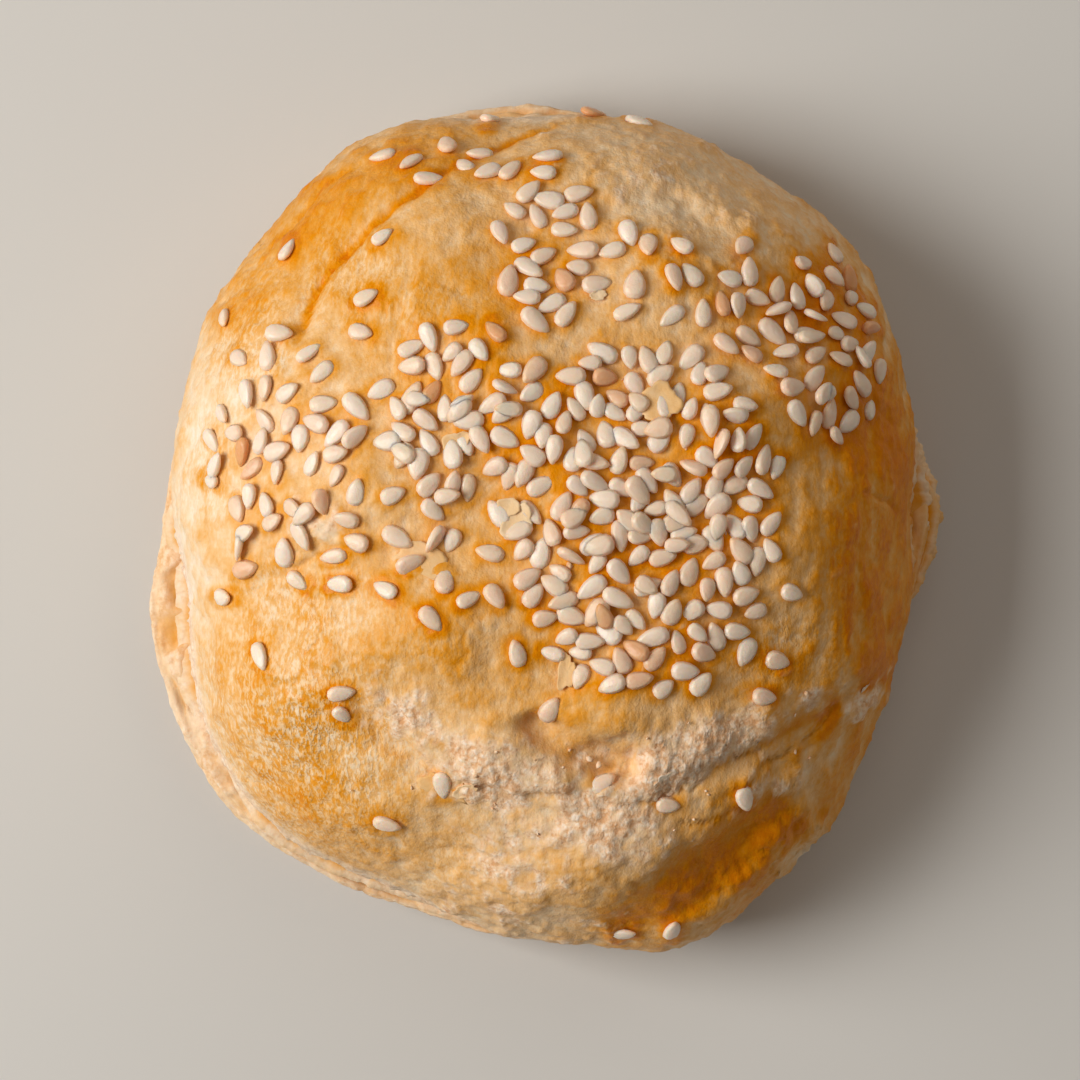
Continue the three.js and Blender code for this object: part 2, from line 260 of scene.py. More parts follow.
@dataclass
class PastryForm:
    """The bun's true form, from the same sizes as the solid."""

    crown_height: float = 34
    half_width: float = 38.6
    half_length: float = 42.2
    rim_height_low: float = 9
    foot_tuck: float = 6.5
    dome_fullness: float = 3.2
    dome_rounding: float = 0.6
    skirt_set_back: float = 0.8
    lip_level: float = 0.12
    ledge_level: float = 0.36
    slot_levels: tuple[float, ...] = (0.2, 0.5, 0.75)
    slot_depth: float = 1.8
    slot_half_level: float = 0.045
    layer_bulge: float = 0.5
    layer_swing: float = 0.45
    wave_height: float = 0.3
    relief_fade: float = 0.9
    crease_steps: int = 24
    crease_run_out: float = 0.12
    rim_swells: tuple[Swell, ...] = (
        Swell(0, 7, -1.4),
        Swell(42, 13, 2.5),
        Swell(70, 7, 0.9),
        Swell(95, 6, -0.8),
        Swell(116, 11, 2.1),
        Swell(146, 8, 0.9),
        Swell(190, 10, -1.8),
        Swell(219, 10, 0.8),
        Swell(250, 10, -1.9),
        Swell(291, 9, 3.2),
        Swell(313, 7, 1.3),
        Swell(341, 8, -0.4),
    )
    skirt_swells: tuple[Swell, ...] = (
        Swell(2, 6.5, 2.9),
        Swell(94, 8, 2.7),
        Swell(193, 10, 4.2),
        Swell(217, 12, 2.6),
        Swell(246, 12, 2.5),
        Swell(268, 8, 0.9),
    )
    rim_lifts: tuple[Swell, ...] = (Swell(2, 14, 2.0), Swell(95, 16, 1.5), Swell(207, 28, 2.6))
    waves: tuple[tuple[float, float, float], ...] = (
        (0.31, 0.17, 0.4),
        (-0.21, 0.36, 2.1),
        (0.12, -0.43, 4.4),
    )
    lumps: tuple[Lump, ...] = (
        Lump(6.6, -18.1, 5, 0.9),
        Lump(-9.2, -13.1, 8, 0.8),
        Lump(3.7, -34.5, 8, 1.2),
        Lump(16, 33.5, 8, 0.9),
        Lump(5.6, 23.5, 8, -0.8),
        Lump(-4.2, 3.7, 3.5, -0.7),
        Lump(31.5, 10.7, 4, -0.9),
        Lump(-21, 17, 6, -0.6),
        Lump(-27, -20, 7, 0.7),
    )
    creases: tuple[Crease, ...] = (
        Crease((-24.5, 17), (-22, 31.5), (3.7, 41.5), 0.8, 0.9, -0.7, 5, 0.28, 0.4),
        Crease((-19, -16.1), (-11.4, -26.8), (4.6, -28.8), 0.7, 1.0, 0.5, 5, 0.0),
        Crease((-1.3, -17.6), (0.6, -22.8), (10.6, -23), 1.9, 1.9, 0.8, 6, 0.03, 1.5),
        Crease((7.6, -27.7), (23.3, -20.6), (35.5, -14.2), 0.9, 1.1, 1.1, 6, 0.2, 0.5),
        Crease((4.2, -41.6), (17.6, -34.7), (25.6, -27.2), 1.0, 2.6, 0, 4, 0.3, 3.0),
        Crease((20.1, -23.8), (27.2, -21.5), (29.1, -16.4), 0.6, 0.8, 0, 4, 0.12, 0.8),
    )

    def swell_at(self, swells: tuple[Swell, ...], angle: Numbers) -> Numbers:
        """The sum of the swells at each angle."""
        out = np.zeros_like(angle)
        for swell in swells:
            turn = angle - math.radians(swell.at)
            away = np.arctan2(np.sin(turn), np.cos(turn)) / math.radians(swell.spread)
            out += swell.out * np.exp(-0.5 * away**2)
        return out

    def rim_radius(self, angle: Numbers) -> Numbers:
        """Distance from the middle to the top sheet's rim."""
        oval = 1 / np.hypot(np.cos(angle) / self.half_width, np.sin(angle) / self.half_length)
        return oval + self.swell_at(self.rim_swells, angle)

    def rim_height(self, angle: Numbers) -> Numbers:
        """Height of the rim over the underside."""
        lift = self.swell_at(self.rim_lifts, angle)
        return self.rim_height_low + lift + 0.5 * np.sin(3 * angle + 0.8)

    def nearest_on_crease(self, crease: Crease, x: Numbers, y: Numbers) -> tuple[Numbers, ...]:
        """Finds the nearest point of a crease to each place.

        Args:
            crease: The crease.
            x: Places.
            y: Places.

        Returns:
            The distance, the share of the way along, and the side, +1 on the right.
        """
        best = np.full(x.shape, np.inf)
        along = np.zeros(x.shape)
        side = np.ones(x.shape)
        from_x, from_y = crease.start
        for step in range(1, self.crease_steps + 1):
            t = step / self.crease_steps
            a, b, c = (1 - t) ** 2, 2 * t * (1 - t), t * t
            to_x = a * crease.start[0] + b * crease.bend[0] + c * crease.end[0]
            to_y = a * crease.start[1] + b * crease.bend[1] + c * crease.end[1]
            run_x, run_y = to_x - from_x, to_y - from_y
            share = ((x - from_x) * run_x + (y - from_y) * run_y) / (run_x**2 + run_y**2)
            held = np.clip(share, 0, 1)
            distance = np.hypot(x - from_x - held * run_x, y - from_y - held * run_y)
            nearer = distance < best
            right = (x - from_x) * run_y - (y - from_y) * run_x >= 0
            best = np.where(nearer, distance, best)
            along = np.where(nearer, (step - 1 + held) / self.crease_steps, along)
            side = np.where(nearer, np.where(right, 1.0, -1.0), side)
            from_x, from_y = to_x, to_y
        return best, along, side

    def crease_ends(self, along: Numbers) -> Numbers:
        """1 along a crease, fading to 0 at both of its ends."""
        run_out = self.crease_run_out
        return smooth(along, 0, run_out) * (1 - smooth(along, 1 - run_out, 1))

    def crease_height(self, crease: Crease, x: Numbers, y: Numbers) -> Numbers:
        """What one crease adds to the height at each place."""
        distance, along, side = self.nearest_on_crease(crease, x, y)
        furrow = -crease.depth * bell(distance, crease.half)
        ramp = np.minimum(1, distance / crease.half) * np.exp(-distance / crease.run)
        return self.crease_ends(along) * (furrow - 0.5 * side * crease.drop * ramp)

    def relief(self, x: Numbers, y: Numbers) -> Numbers:
        """Lumps, waves and creases of the top."""
        height = np.zeros_like(x)
        for along_x, along_y, start in self.waves:
            height += self.wave_height * np.sin(along_x * x + along_y * y + start)
        for lump in self.lumps:
            height += lump.height * bell(np.hypot(x - lump.x, y - lump.y), lump.radius)
        for crease in self.creases:
            height += self.crease_height(crease, x, y)
        return height

    def crown(self, angle: Numbers, reach: Numbers) -> Numbers:
        """Height of the top sheet at each angle and share of the way out to the rim."""
        rim = self.rim_height(angle)
        dome = np.maximum(0, 1 - reach**self.dome_fullness) ** self.dome_rounding
        radius = reach * self.rim_radius(angle)
        fade = 1 - smooth(reach, self.relief_fade, 1)
        low = self.relief(radius * np.cos(angle), radius * np.sin(angle))
        return rim + (self.crown_height - rim) * dome + fade * low

    def height_over(self, x: Numbers, y: Numbers) -> Numbers:
        """Height of the top sheet over each place."""
        angle = np.arctan2(y, x)
        return self.crown(angle, np.minimum(1, np.hypot(x, y) / self.rim_radius(angle)))

    def slot_level(self, slot: int, angle: Numbers) -> Numbers:
        """Level of the middle of a slot between two layers, as a share of the way down."""
        wander = 0.03 * np.sin(3 * angle + 1.3 * slot) + 0.015 * np.sin(7 * angle + 2.1 * slot)
        return self.slot_levels[slot] + wander

    def slot_opening(self, angle: Numbers) -> Numbers:
        """How far the layers stand open at each angle, from 0 to 1."""
        return smooth(self.swell_at(self.skirt_swells, angle), 0.5, 3.5)

    def side_radius(self, angle: Numbers, level: Numbers) -> Numbers:
        """Distance from the middle to the side, at each angle and level below the rim."""
        rim = self.rim_radius(angle)
        skirt = rim - self.skirt_set_back + self.swell_at(self.skirt_swells, angle)
        under = smooth(level, self.lip_level, self.ledge_level)
        radius = rim * (1 - under) + skirt * under - self.foot_tuck * level**3.5
        slots = len(self.slot_levels)
        roof = np.zeros_like(angle)
        for slot in range(slots + 1):
            floor = self.slot_level(slot, angle) if slot < slots else np.ones_like(angle)
            if slot < slots:
                depth = self.slot_depth * (0.4 + 0.6 * self.slot_opening(angle))
                depth *= 0.8 + 0.2 * np.sin(4 * angle + 2.4 * slot)
                radius = radius - depth * bell(level - floor, self.slot_half_level)
            if slot > 0:
                bulge = self.layer_bulge + self.layer_swing * np.sin(2 * angle + 1.9 * slot)
                share = np.clip((level - roof) / (floor - roof), 0, 1)
                radius = radius + bulge * np.sin(np.pi * share)
            roof = floor
        return radius


# ---------------------------------------------------------------- sesame: where each seed lies


@dataclass
class Seed:
    """One seed: its place, heading and size, how it tips, and what it looks like."""

    x: float
    y: float
    heading: float
    size: float
    tip: float
    roll: float
    lie: Lie = Lie.FUSED
    lift: float = 0.0
    toast: float = 0.0
    shade: float = 0.0


@dataclass
class SesameFall:
    """The rule by which the sesame fell. The seeds that lie clear are the solid's own."""

    length: float = 3.05
    width: float = 1.85
    thickness: float = 0.98
    spot: float = 0.7
    gap: float = 2.5
    loose_gap: float = 1.22
    stacked_gap: float = 2.3
    edge_share: float = 0.07
    edge_tilt: tuple[float, float] = (0.7, 1.15)
    edge_lift: float = 0.12
    tilt: float = 0.22
    loose_tilt: float = 0.2
    most_tilted: float = 1.2
    loose_lift: float = 0.3
    crowded_within: float = 1.2
    stacked_lift: float = 0.66
    crowding: float = 0.6
    size_range: tuple[float, float] = (0.88, 1.12)
    reach_limit: float = 0.93
    tries: int = 80
    loose_tries: int = 240
    random_start: int = 20417
    loose_start: int = 611
    toasted_share: float = 0.045
    toasted_range: tuple[float, float] = (0.4, 1.0)
    plain_toast: float = 0.18
    lone: tuple[tuple[float, float, float], ...] = (
        (-25.4, 27.6, 80),
        (-15.7, 28.4, 40),
        (-17.2, 22.4, 25),
        (-17.8, 19.0, -15),
        (-31.8, 20.8, -50),
        (-27.6, -12.8, -65),
        (-19.7, -18.2, -50),
        (-15.4, -29.1, -10),
        (-9.9, -25.2, -85),
        (5.8, -25.0, 35),
        (12.2, -27.3, -5),
        (19.6, -26.6, -70),
        (8.1, -40.6, 25),
        (12.8, -39.9, 85),
        (0.7, -17.7, 60),
        (24.2, -6.4, -20),
        (22.8, -13.1, -15),
        (21.4, -16.6, -8),
        (-5.3, 41.0, 60),
        (5.1, 41.8, 25),
        (9.7, 41.0, -35),
    )
    patches: tuple[Patch, ...] = (
        Patch(9.0, 1.0, 14.8, 16.6, 44),
        Patch(28.2, 18.3, 6.5, 9, 13),
        Patch(-25.3, 8.8, 7, 10.5, 13),
        Patch(-26.4, -5, 7.5, 4.5, 5),
        Patch(-0.3, 29, 5, 9, 8),
        Patch(-11.1, 9.6, 9, 8, 12),
        Patch(11.5, 22.5, 9.5, 6, 8),
        Patch(-9.4, 37, 8, 2.6, 4),
        Patch(8, -10, 13, 6.5, 12),
    )
    loose_patches: tuple[Patch, ...] = (
        Patch(9.9, 1.2, 12.5, 16.5, 112),
        Patch(28.2, 18.0, 6.2, 9.5, 46),
        Patch(-19.6, -16.2, 0.3, 0.3, 1),
        Patch(-17, 4, 4, 8, 6),
        Patch(-26.5, 7.1, 6.5, 12, 22),
        Patch(-7.5, 11.4, 7.5, 8.5, 26),
        Patch(-9.5, -5.0, 7.5, 4.5, 8),
        Patch(0.1, 27.9, 4.5, 8.5, 16),
        Patch(9.4, 25, 6.5, 4.5, 4),
        Patch(-8.2, 36, 6, 2.4, 4),
        Patch(19.1, 22, 4, 6, 8),
    )
    stacked_patches: tuple[Patch, ...] = (
        Patch(10, 0, 10, 13, 15),
        Patch(28, 17, 5, 7, 3),
        Patch(-26, 5, 5, 9, 3),
        Patch(-9, 9, 7, 7, 5),
    )

    def spots(self, seed: Seed) -> list[tuple[float, float]]:
        """The two spots on a seed's length that keep it off its neighbours."""
        along_x = self.spot * math.cos(seed.heading)
        along_y = self.spot * math.sin(seed.heading)
        return [(seed.x + along_x, seed.y + along_y), (seed.x - along_x, seed.y - along_y)]

    def lies_clear(self, seed: Seed, other: Seed, gap: float) -> bool:
        """Whether two seeds keep a gap between their spots."""
        if math.hypot(seed.x - other.x, seed.y - other.y) > self.length + gap:
            return True
        ends = self.spots(other)
        return all(math.hypot(x - u, y - v) > gap for x, y in self.spots(seed) for u, v in ends)

    def fused(self, form: PastryForm) -> list[Seed]:
        """Repeats the rule that placed the solid's own seeds.

        Args:
            form: The bun's form, for its rim.

        Returns:
            The seeds that lie clear of each other.
        """
        state = self.random_start

        def random() -> float:
            nonlocal state
            state = (state * 48271) % 2147483647
            return state / 2147483647

        low, high = self.size_range

        def make(x: float, y: float, heading: float) -> Seed:
            size = low + (high - low) * random()
            tip = self.tilt * (2 * random() - 1)
            roll = self.tilt * (2 * random() - 1)
            return Seed(x, y, heading, size, tip, roll)

        seeds = [make(x, y, math.radians(heading)) for x, y, heading in self.lone]
        for patch in self.patches:
            missing = patch.count
            for _ in range(self.tries * patch.count):
                if missing == 0:
                    break
                around = 2 * math.pi * random()
                out = random() ** self.crowding
                x = patch.x + patch.half_x * out * math.cos(around)
                y = patch.y + patch.half_y * out * math.sin(around)
                seed = make(x, y, 2 * math.pi * random())
                if self.on_top(x, y, form) and all(self.lies_clear(seed, o, self.gap) for o in seeds):
                    seeds.append(seed)
                    missing -= 1
        return seeds

    def on_top(self, x: float, y: float, form: PastryForm) -> bool:
        """Whether a place is well inside the rim."""
        rim = float(form.rim_radius(np.array([math.atan2(y, x)]))[0])
        return math.hypot(x, y) < self.reach_limit * rim

    def all_seeds(self, form: PastryForm) -> list[Seed]:
        """The solid's seeds, those between them, and those on top, each with its looks.

        Args:
            form: The bun's form, for its rim.

        Returns:
            Every seed.
        """
        seeds = self.fused(form)
        source = np.random.default_rng(self.loose_start)
        for patch in self.loose_patches:
            self.strew(patch, Lie.LOOSE, self.loose_gap, seeds, seeds, form, source)
        tops: list[Seed] = []
        for patch in self.stacked_patches:
            self.strew(patch, Lie.STACKED, self.stacked_gap, tops, seeds, form, source)
        seeds += tops
        for seed in seeds:
            if source.uniform() < self.toasted_share:
                seed.toast = source.uniform(*self.toasted_range)
            else:
                seed.toast = self.plain_toast * source.uniform() ** 2
            seed.shade = source.normal()
        return seeds

    def strew(
        self,
        patch: Patch,
        lie: Lie,
        gap: float,
        group: list[Seed],
        ground: list[Seed],
        form: PastryForm,
        source: np.random.Generator,
    ) -> None:
        """Adds the seeds of one patch to a group.

        Args:
            patch: Where they fall, and how many.
            lie: How they lie.
            gap: What the spots of two seeds of the group keep clear.
            group: The seeds that they keep off, which they join.
            ground: The seeds that they may rest on.
            form: The bun's form, for its rim.
            source: The random numbers.
        """
        missing = patch.count
        for _ in range(self.loose_tries * patch.count):
            if missing == 0:
                break
            around = source.uniform(0, 2 * math.pi)
            out = source.uniform() ** self.crowding
            x = patch.x + patch.half_x * out * math.cos(around)
            y = patch.y + patch.half_y * out * math.sin(around)
            heading = source.uniform(0, 2 * math.pi)
            lean = np.clip(source.normal(size=2), -self.most_tilted, self.most_tilted)
            tip, roll = self.loose_tilt * lean
            size = source.uniform(*self.size_range)
            seed = Seed(x, y, heading, size, tip, roll, lie)
            on_edge = source.uniform() < self.edge_share
            if self.on_top(x, y, form) and all(self.lies_clear(seed, o, gap) for o in group):
                self.settle(seed, ground)
                if on_edge:
                    seed.tip = source.choice([-1, 1]) * source.uniform(*self.edge_tilt)
                    seed.lift += self.edge_lift * self.width
                group.append(seed)
                missing -= 1

    def settle(self, seed: Seed, others: list[Seed]) -> None:
        """Lifts a seed by how much of it lies on others."""
        nearest = 2 * self.width
        for other in others:
            if math.hypot(seed.x - other.x, seed.y - other.y) < 2 * self.length:
                for x, y in self.spots(seed):
                    for u, v in self.spots(other):
                        nearest = min(nearest, math.hypot(x - u, y - v))
        if seed.lie is Lie.STACKED:
            seed.lift = self.stacked_lift * self.thickness
        else:
            crowded = max(0.0, 1 - (nearest - self.crowded_within))
            seed.lift = self.loose_lift * self.thickness * crowded


# ---------------------------------------------------------------- the crust's own surface


@dataclass
class Surface:
    """What the crust is like at each place."""

    rise: Numbers
    tone: Numbers
    bare: Numbers
    gloss: Numbers
    wrinkled: Numbers


@dataclass(frozen=True)
class Flap:
    """A patch of skin that stands off the crust along one side of its oval outline."""

    oval: Stain
    opens_to: float

    def rise(self, x: Numbers, y: Numbers) -> tuple[Numbers, Numbers]:
        """How far the skin stands off at each place, and where its open edge gets a groove and a line of
        painted shadow.

        Args:
            x: Places.
            y: Places.

        Returns:
            The rise, and from 0 to 1 how close the place is to the open edge.
        """
        away = self.oval.away(x, y)
        outward = np.arctan2(y - self.oval.y, x - self.oval.x) - math.radians(self.opens_to)
        facing = smooth(np.cos(outward), -0.5, 0.45)
        on = facing * (1 - smooth(away, 0.95, 1.05))
        inward = np.exp(-np.maximum(0, 1 - away) / 0.35)
        return self.oval.amount * on * (0.15 + 0.85 * inward), facing * bell(away - 1.05, 0.07)


@dataclass(frozen=True)
class SkinRelief:
    """How high each kind of unevenness stands on the crust, in millimetres."""

    lumps: float = 0.2
    blotches: float = 0.2
    specks: float = 0.1
    streaks: float = 0.2
    layers: float = 0.12
    grit: float = 0.1
    fibres: float = 0.03
    crumbs: float = 0.28
    flap_groove: float = 0.08
    wash_bank: float = 0.12


@dataclass(frozen=True)
class SkinBrowning:
    """How much each thing browns the crust, or lightens it where the name says so."""

    plain: float = 0.46
    blotches: float = 0.14
    specks: float = 0.08
    streaks: float = 0.27
    pools: float = 0.26
    # Darkening along the open edge of a lifted flap of skin is painted shadow.
    flap_edge_shadow: float = 0.07
    flap_lighter: float = 0.35
    open_rim_lighter: float = 0.3
    bare_lighter: float = 0.65
    darkest: float = 0.92


@dataclass
class CrustSkin:
    """Small relief, browning and gloss of the top sheet, and how its skin broke, with a painted highlight on
    its left side and painted shade among the thickest sesame.
    """

    form: PastryForm
    seeds: list[Seed]
    relief: SkinRelief = SkinRelief()
    browning: SkinBrowning = SkinBrowning()
    random_starts: tuple[int, int, int] = (71, 72, 73)
    base_gloss: float = 0.51
    wander: float = 1.5
    crack_wander: float = 0.3
    seed_half_width: float = 0.9
    dough_layers: float = 2.6
    layer_lip: float = 0.22
    lumps: Texture = Texture(7)
    blotches: Texture = Texture(4.4, 4, 0.7, shift=55)
    specks: Texture = Texture(1.5, 3, 0.65)
    crumbs: Texture = Texture(1.2, 3, 0.75, shift=90)
    fibres: Texture = Texture(1.1, 2, 0.6, (1, 0.3, 0.6))
    streaks: Texture = Texture(1.6, 3, 0.6, (1, 0.16, 0.2), 70)
    leaves: Texture = Texture(4.5, 4, 0.6, shift=130)
    wandering: Texture = Texture(5, 4, 0.6)
    tones: tuple[Stain, ...] = (
        # The first two lighten the left side, which faces the key light: a painted highlight.
        Stain(-31.3, 11.2, 5, 8, 0, -0.24),
        Stain(-36.5, -1.5, 4, 9, 8, -0.22),
        Stain(11.7, 34, 14, 8, -15, -0.05),
        Stain(21, 27, 9, 7, -40, 0.01),
        Stain(5.5, 23.3, 8, 4, 0, -0.06),
        Stain(-21.9, 0.7, 3.5, 3, 0, -0.12),
        Stain(-24.2, -21.2, 7, 10, 20, 0.05),
        Stain(-23.6, -16.1, 2.5, 4, 15, 0.14),
        Stain(-12.5, -11, 6.5, 5, -15, 0.17),
        Stain(-19.5, -31.7, 2.6, 3, 0, 0.14),
        Stain(-22.8, -27.5, 3.6, 3, 0, 0.14),
        Stain(-22.5, 31, 7, 6, 40, 0.24),
        Stain(-14, 37, 7, 3, 20, 0.26),
        Stain(-31, 20.5, 3, 4.5, -10, 0.22),
        Stain(-27, 27.5, 5, 4, 40, 0.14),
        Stain(-8, 24, 5, 3, -10, 0.14),
        Stain(33, 12.8, 3.5, 6, 0, 0.22),
        Stain(27.7, 22.8, 4.5, 5, 0, 0.2),
        Stain(30.5, 8.7, 4, 4, 0, 0.14),
        Stain(34, -4, 6.5, 15, 0, 0.42),
        Stain(34.5, -12, 3, 6, 10, 0.1),
        Stain(38, 12, 5, 12, 0, 0.16),
        # This one browns the crust among the thickest sesame: painted shade between the seeds.
        Stain(12, 2, 18, 16, 0, 0.12),
        Stain(-12, 21, 7, 5, 20, 0.12),
        Stain(25.5, -32.5, 3.4, 2.4, 40, -0.24),
        Stain(29, -23.5, 4, 2, 45, -0.12),
        Stain(24, -17, 9, 5, -20, 0.2),
        Stain(-8, 20.5, 7, 5, 0, 0.06),
        Stain(21, -33, 9, 6, 35, 0.24),
        Stain(14.4, -36, 2.5, 1.5, 35, 0.16),
        Stain(28, -27, 6, 3, 50, 0.16),
        Stain(-10.5, -11.5, 9, 5, -10, 0.04),
        Stain(0, -34, 12, 4, 0, 0.1),
        Stain(0, -17.5, 9, 3, -5, 0.12),
    )
    bares: tuple[Stain, ...] = (
        Stain(-13.2, -18.6, 4.8, 2.8, -40, 0.85),
        Stain(-4.8, -23.6, 8, 4.4, -12, 0.85),
        Stain(-2.9, -32.3, 6.5, 6, 0, 0.68),
        Stain(-8, -36, 9, 4.5, 12, 0.42),
        Stain(11, -24, 3.6, 2.6, 20, 1.4),
        Stain(5.5, -23, 4, 1.6, 0, 0.5),
        Stain(16.5, -21.3, 7, 3.2, 24, 0.95),
        Stain(5.4, -29.2, 8, 4.6, 0, 0.92),
        Stain(32.1, -17.1, 3, 2.4, 30, 0.8),
        Stain(25.3, -17.6, 4.5, 1.8, 25, 0.62),
        Stain(22.5, -25.6, 3.4, 1.6, 35, 0.55),
        Stain(13, 33.5, 12, 7, -25, 0.36),
        Stain(-22, 0.5, 3.4, 2.6, 0, 0.5),
        Stain(-1, -39.5, 9, 2.2, 0, 0.5),
    )
    bumps: tuple[Stain, ...] = (
        Stain(22.6, -31.6, 2.4, 1.5, 40, 0.6),
        Stain(26.8, -30, 1.8, 1.3, 20, 0.55),
        Stain(19, -33.8, 3.4, 1.2, 38, -0.55),
        Stain(13.2, -23.2, 2.6, 1.8, 20, 0.5),
        Stain(20.5, -35, 9, 1.9, 40, 1.15),
        Stain(16.5, -32.6, 8, 1.8, 38, -0.6),
        Stain(20.4, -19.6, 3.6, 1.5, 25, 0.45),
        Stain(31.6, -17.8, 2, 1.3, 50, 0.4),
        Stain(1.5, -30, 4, 2, -10, 0.4),
        Stain(-6, -29.8, 3, 1.8, 10, 0.3),
        Stain(5.6, -22.8, 4.6, 1.2, 4, -0.8),
        Stain(8.5, -33.5, 4, 1.6, 25, 0.35),
        Stain(-9, -35.2, 4, 1.2, -22, 0.4),
        Stain(-3.5, -37.4, 3, 1.2, 8, 0.35),
        Stain(12, 37, 4, 1.4, -10, 0.4),
        Stain(19, 31, 4.5, 1.6, -42, 0.55),
        Stain(14.5, 31.5, 4, 1.1, -48, -0.35),
        Stain(8, 31.5, 3.5, 1.5, 15, -0.35),
        Stain(15.5, -35.5, 2, 1.3, 30, 0.4),
        Stain(13, -33.2, 2.4, 1.4, 25, -0.35),
    )
    least_wrinkled: float = 0.16
    wrinkles: tuple[Stain, ...] = (
        Stain(-24, -20, 10, 13, 15, 1.0),
        Stain(-24, -8, 8, 5, 0, 0.75),
        Stain(-13, -11, 8, 4, -10, 0.35),
        Stain(-19, 25, 7, 6, 30, 0.5),
        Stain(-29, 18, 4, 9, -10, 0.6),
        Stain(-12, 20, 5, 5, 0, 0.4),
        Stain(-33, 6, 3.5, 7, 0, 0.6),
        Stain(23, -12, 8, 6, 20, 0.4),
        Stain(31, -3, 6, 12, 0, 0.35),
        Stain(-8, -33, 8, 5, 0, 0.3),
    )
    flaps: tuple[Flap, ...] = (
        Flap(Stain(-5.4, -12.3, 3.4, 3.2, 0, 0.2), 150),
        Flap(Stain(-11.3, -3, 4, 2.3, -10, 0.2), 250),
        Flap(Stain(-15.2, -25.4, 4.8, 3.2, -20, 0.2), 70),
        Flap(Stain(11.8, -23.6, 6.6, 2.4, 16, 0.42), 260),
        Flap(Stain(24, -19.6, 6, 1.9, 30, 0.34), 280),
        Flap(Stain(-19.8, 0.5, 3.8, 2.8, 0, 0.16), 200),
        Flap(Stain(14, 32, 9, 5, -22, 0.14), 230),
        Flap(Stain(-11.1, 20.3, 3.2, 2.8, 0, 0.22), 120),
        Flap(Stain(3, -37, 6, 2.4, 8, 0.22), 90),
        Flap(Stain(24.6, -33, 2.4, 2, 0, 0.4), 330),
        Flap(Stain(-27, -9, 4, 6, 10, 0.12), 320),
    )
    cracks: tuple[Crease, ...] = (
        Crease((-16.5, -15.5), (-12.5, -20.5), (-5.5, -24.6), 0.4, 0.28, wash=0.16),
        Crease((-9, -24.9), (-3, -26.2), (3.4, -26.8), 0.4, 0.3, wash=0.1),
        Crease((13.2, -29), (16.5, -29.4), (20.4, -27.2), 0.3, 0.28, wash=0.1),
        Crease((15.5, -27.6), (24, -24.4), (29.8, -18.6), 0.12, 0.4, wash=0.14),
        Crease((-12.2, -31.6), (-3, -33.2), (3.5, -31.5), 0.2, 0.35, wash=0.06),
        Crease((-24.6, -4.2), (-22.4, -2.2), (-20.2, -3.1), 0.3, 0.25, wash=0.12),
        Crease((-33.5, 9), (-34.2, 3), (-33.2, -3), 0.25, 0.3, wash=0.1),
        Crease((-30.5, 22), (-27.5, 31), (-17.5, 37.2), 0.25, 0.3, wash=0.12),
        Crease((31.5, 3.5), (33.4, 3.2), (36, 1.2), 0.25, 0.25, wash=0.1),
        Crease((-24.5, 17), (-22, 31.5), (3.7, 41.5), 0.35, 0.24, wash=0.16),
    )

    def __post_init__(self) -> None:
        """Sets up the noise and the seeds' spots."""
        self.coarse, self.fine, self.warp = (Grain(start) for start in self.random_starts)
        fall = SesameFall()
        resting = [seed for seed in self.seeds if seed.lie is not Lie.STACKED]
        self.seed_spots = np.array([spot for seed in resting for spot in fall.spots(seed)])

    def seed_distance(self, x: Numbers, y: Numbers) -> Numbers:
        """Distance from each place to the nearest seed's middle line."""
        nearest = np.full(x.shape, 99.0)
        for spot_x, spot_y in self.seed_spots:
            near = (np.abs(x - spot_x) < 4) & (np.abs(y - spot_y) < 4)
            apart = np.hypot(x[near] - spot_x, y[near] - spot_y)
            nearest[near] = np.minimum(nearest[near], apart)
        return nearest

    def at(self, places: Numbers) -> Surface:
        """Reads the skin.

        Args:
            places: Rows of x, y and z on the top sheet.

        Returns:
            The rise along the normal, the browning with its painted highlight and shade, the bare flour, the
            gloss and the wrinkles.
        """
        x, y = places[:, 0], places[:, 1]
        angle = np.arctan2(y, x)
        reach = np.hypot(x, y) / self.form.rim_radius(angle)
        relief, browning = self.relief, self.browning
        warped_x = x + self.wander * self.wandering.read(self.warp, places)
        warped_y = y + self.wander * self.wandering.read(self.warp, places + 40)
        bent_x = x + self.crack_wander * (warped_x - x)
        bent_y = y + self.crack_wander * (warped_y - y)
        lumpy = self.lumps.read(self.coarse, places)
        blotch = self.blotches.read(self.coarse, places)
        speck = self.specks.read(self.fine, places)
        fibre = self.fibres.read(self.fine, places)
        grit = np.abs(self.crumbs.read(self.fine, places))
        right = smooth(x, 18, 32)
        streak = self.streaks.read(self.fine, places) * right

        flour = np.zeros_like(x)
        for stain in self.bares:
            flour = np.maximum(flour, stain.over(warped_x, warped_y))
        flour = flour + 0.2 * blotch
        bare = smooth(flour + 0.3 * speck + 0.1 * fibre, 0.3, 0.8)
        flaky = smooth(flour, 0.15, 0.5)
        crumbly = smooth(flour, 0.6, 0.95)

        layers = self.dough_layers * self.leaves.read(self.coarse, places)
        leaf = np.floor(layers) + smooth(layers - np.floor(layers), 0.0, self.layer_lip)
        rise = relief.lumps * lumpy + relief.blotches * blotch
        rise = rise + relief.specks * speck * (1 - flaky) + relief.streaks * streak
        rise = rise + flaky * (relief.layers * leaf + relief.grit * grit + relief.fibres * fibre)
        rise = rise + relief.crumbs * crumbly * grit
        for bump in self.bumps:
            rise = rise + bump.over(warped_x, warped_y)

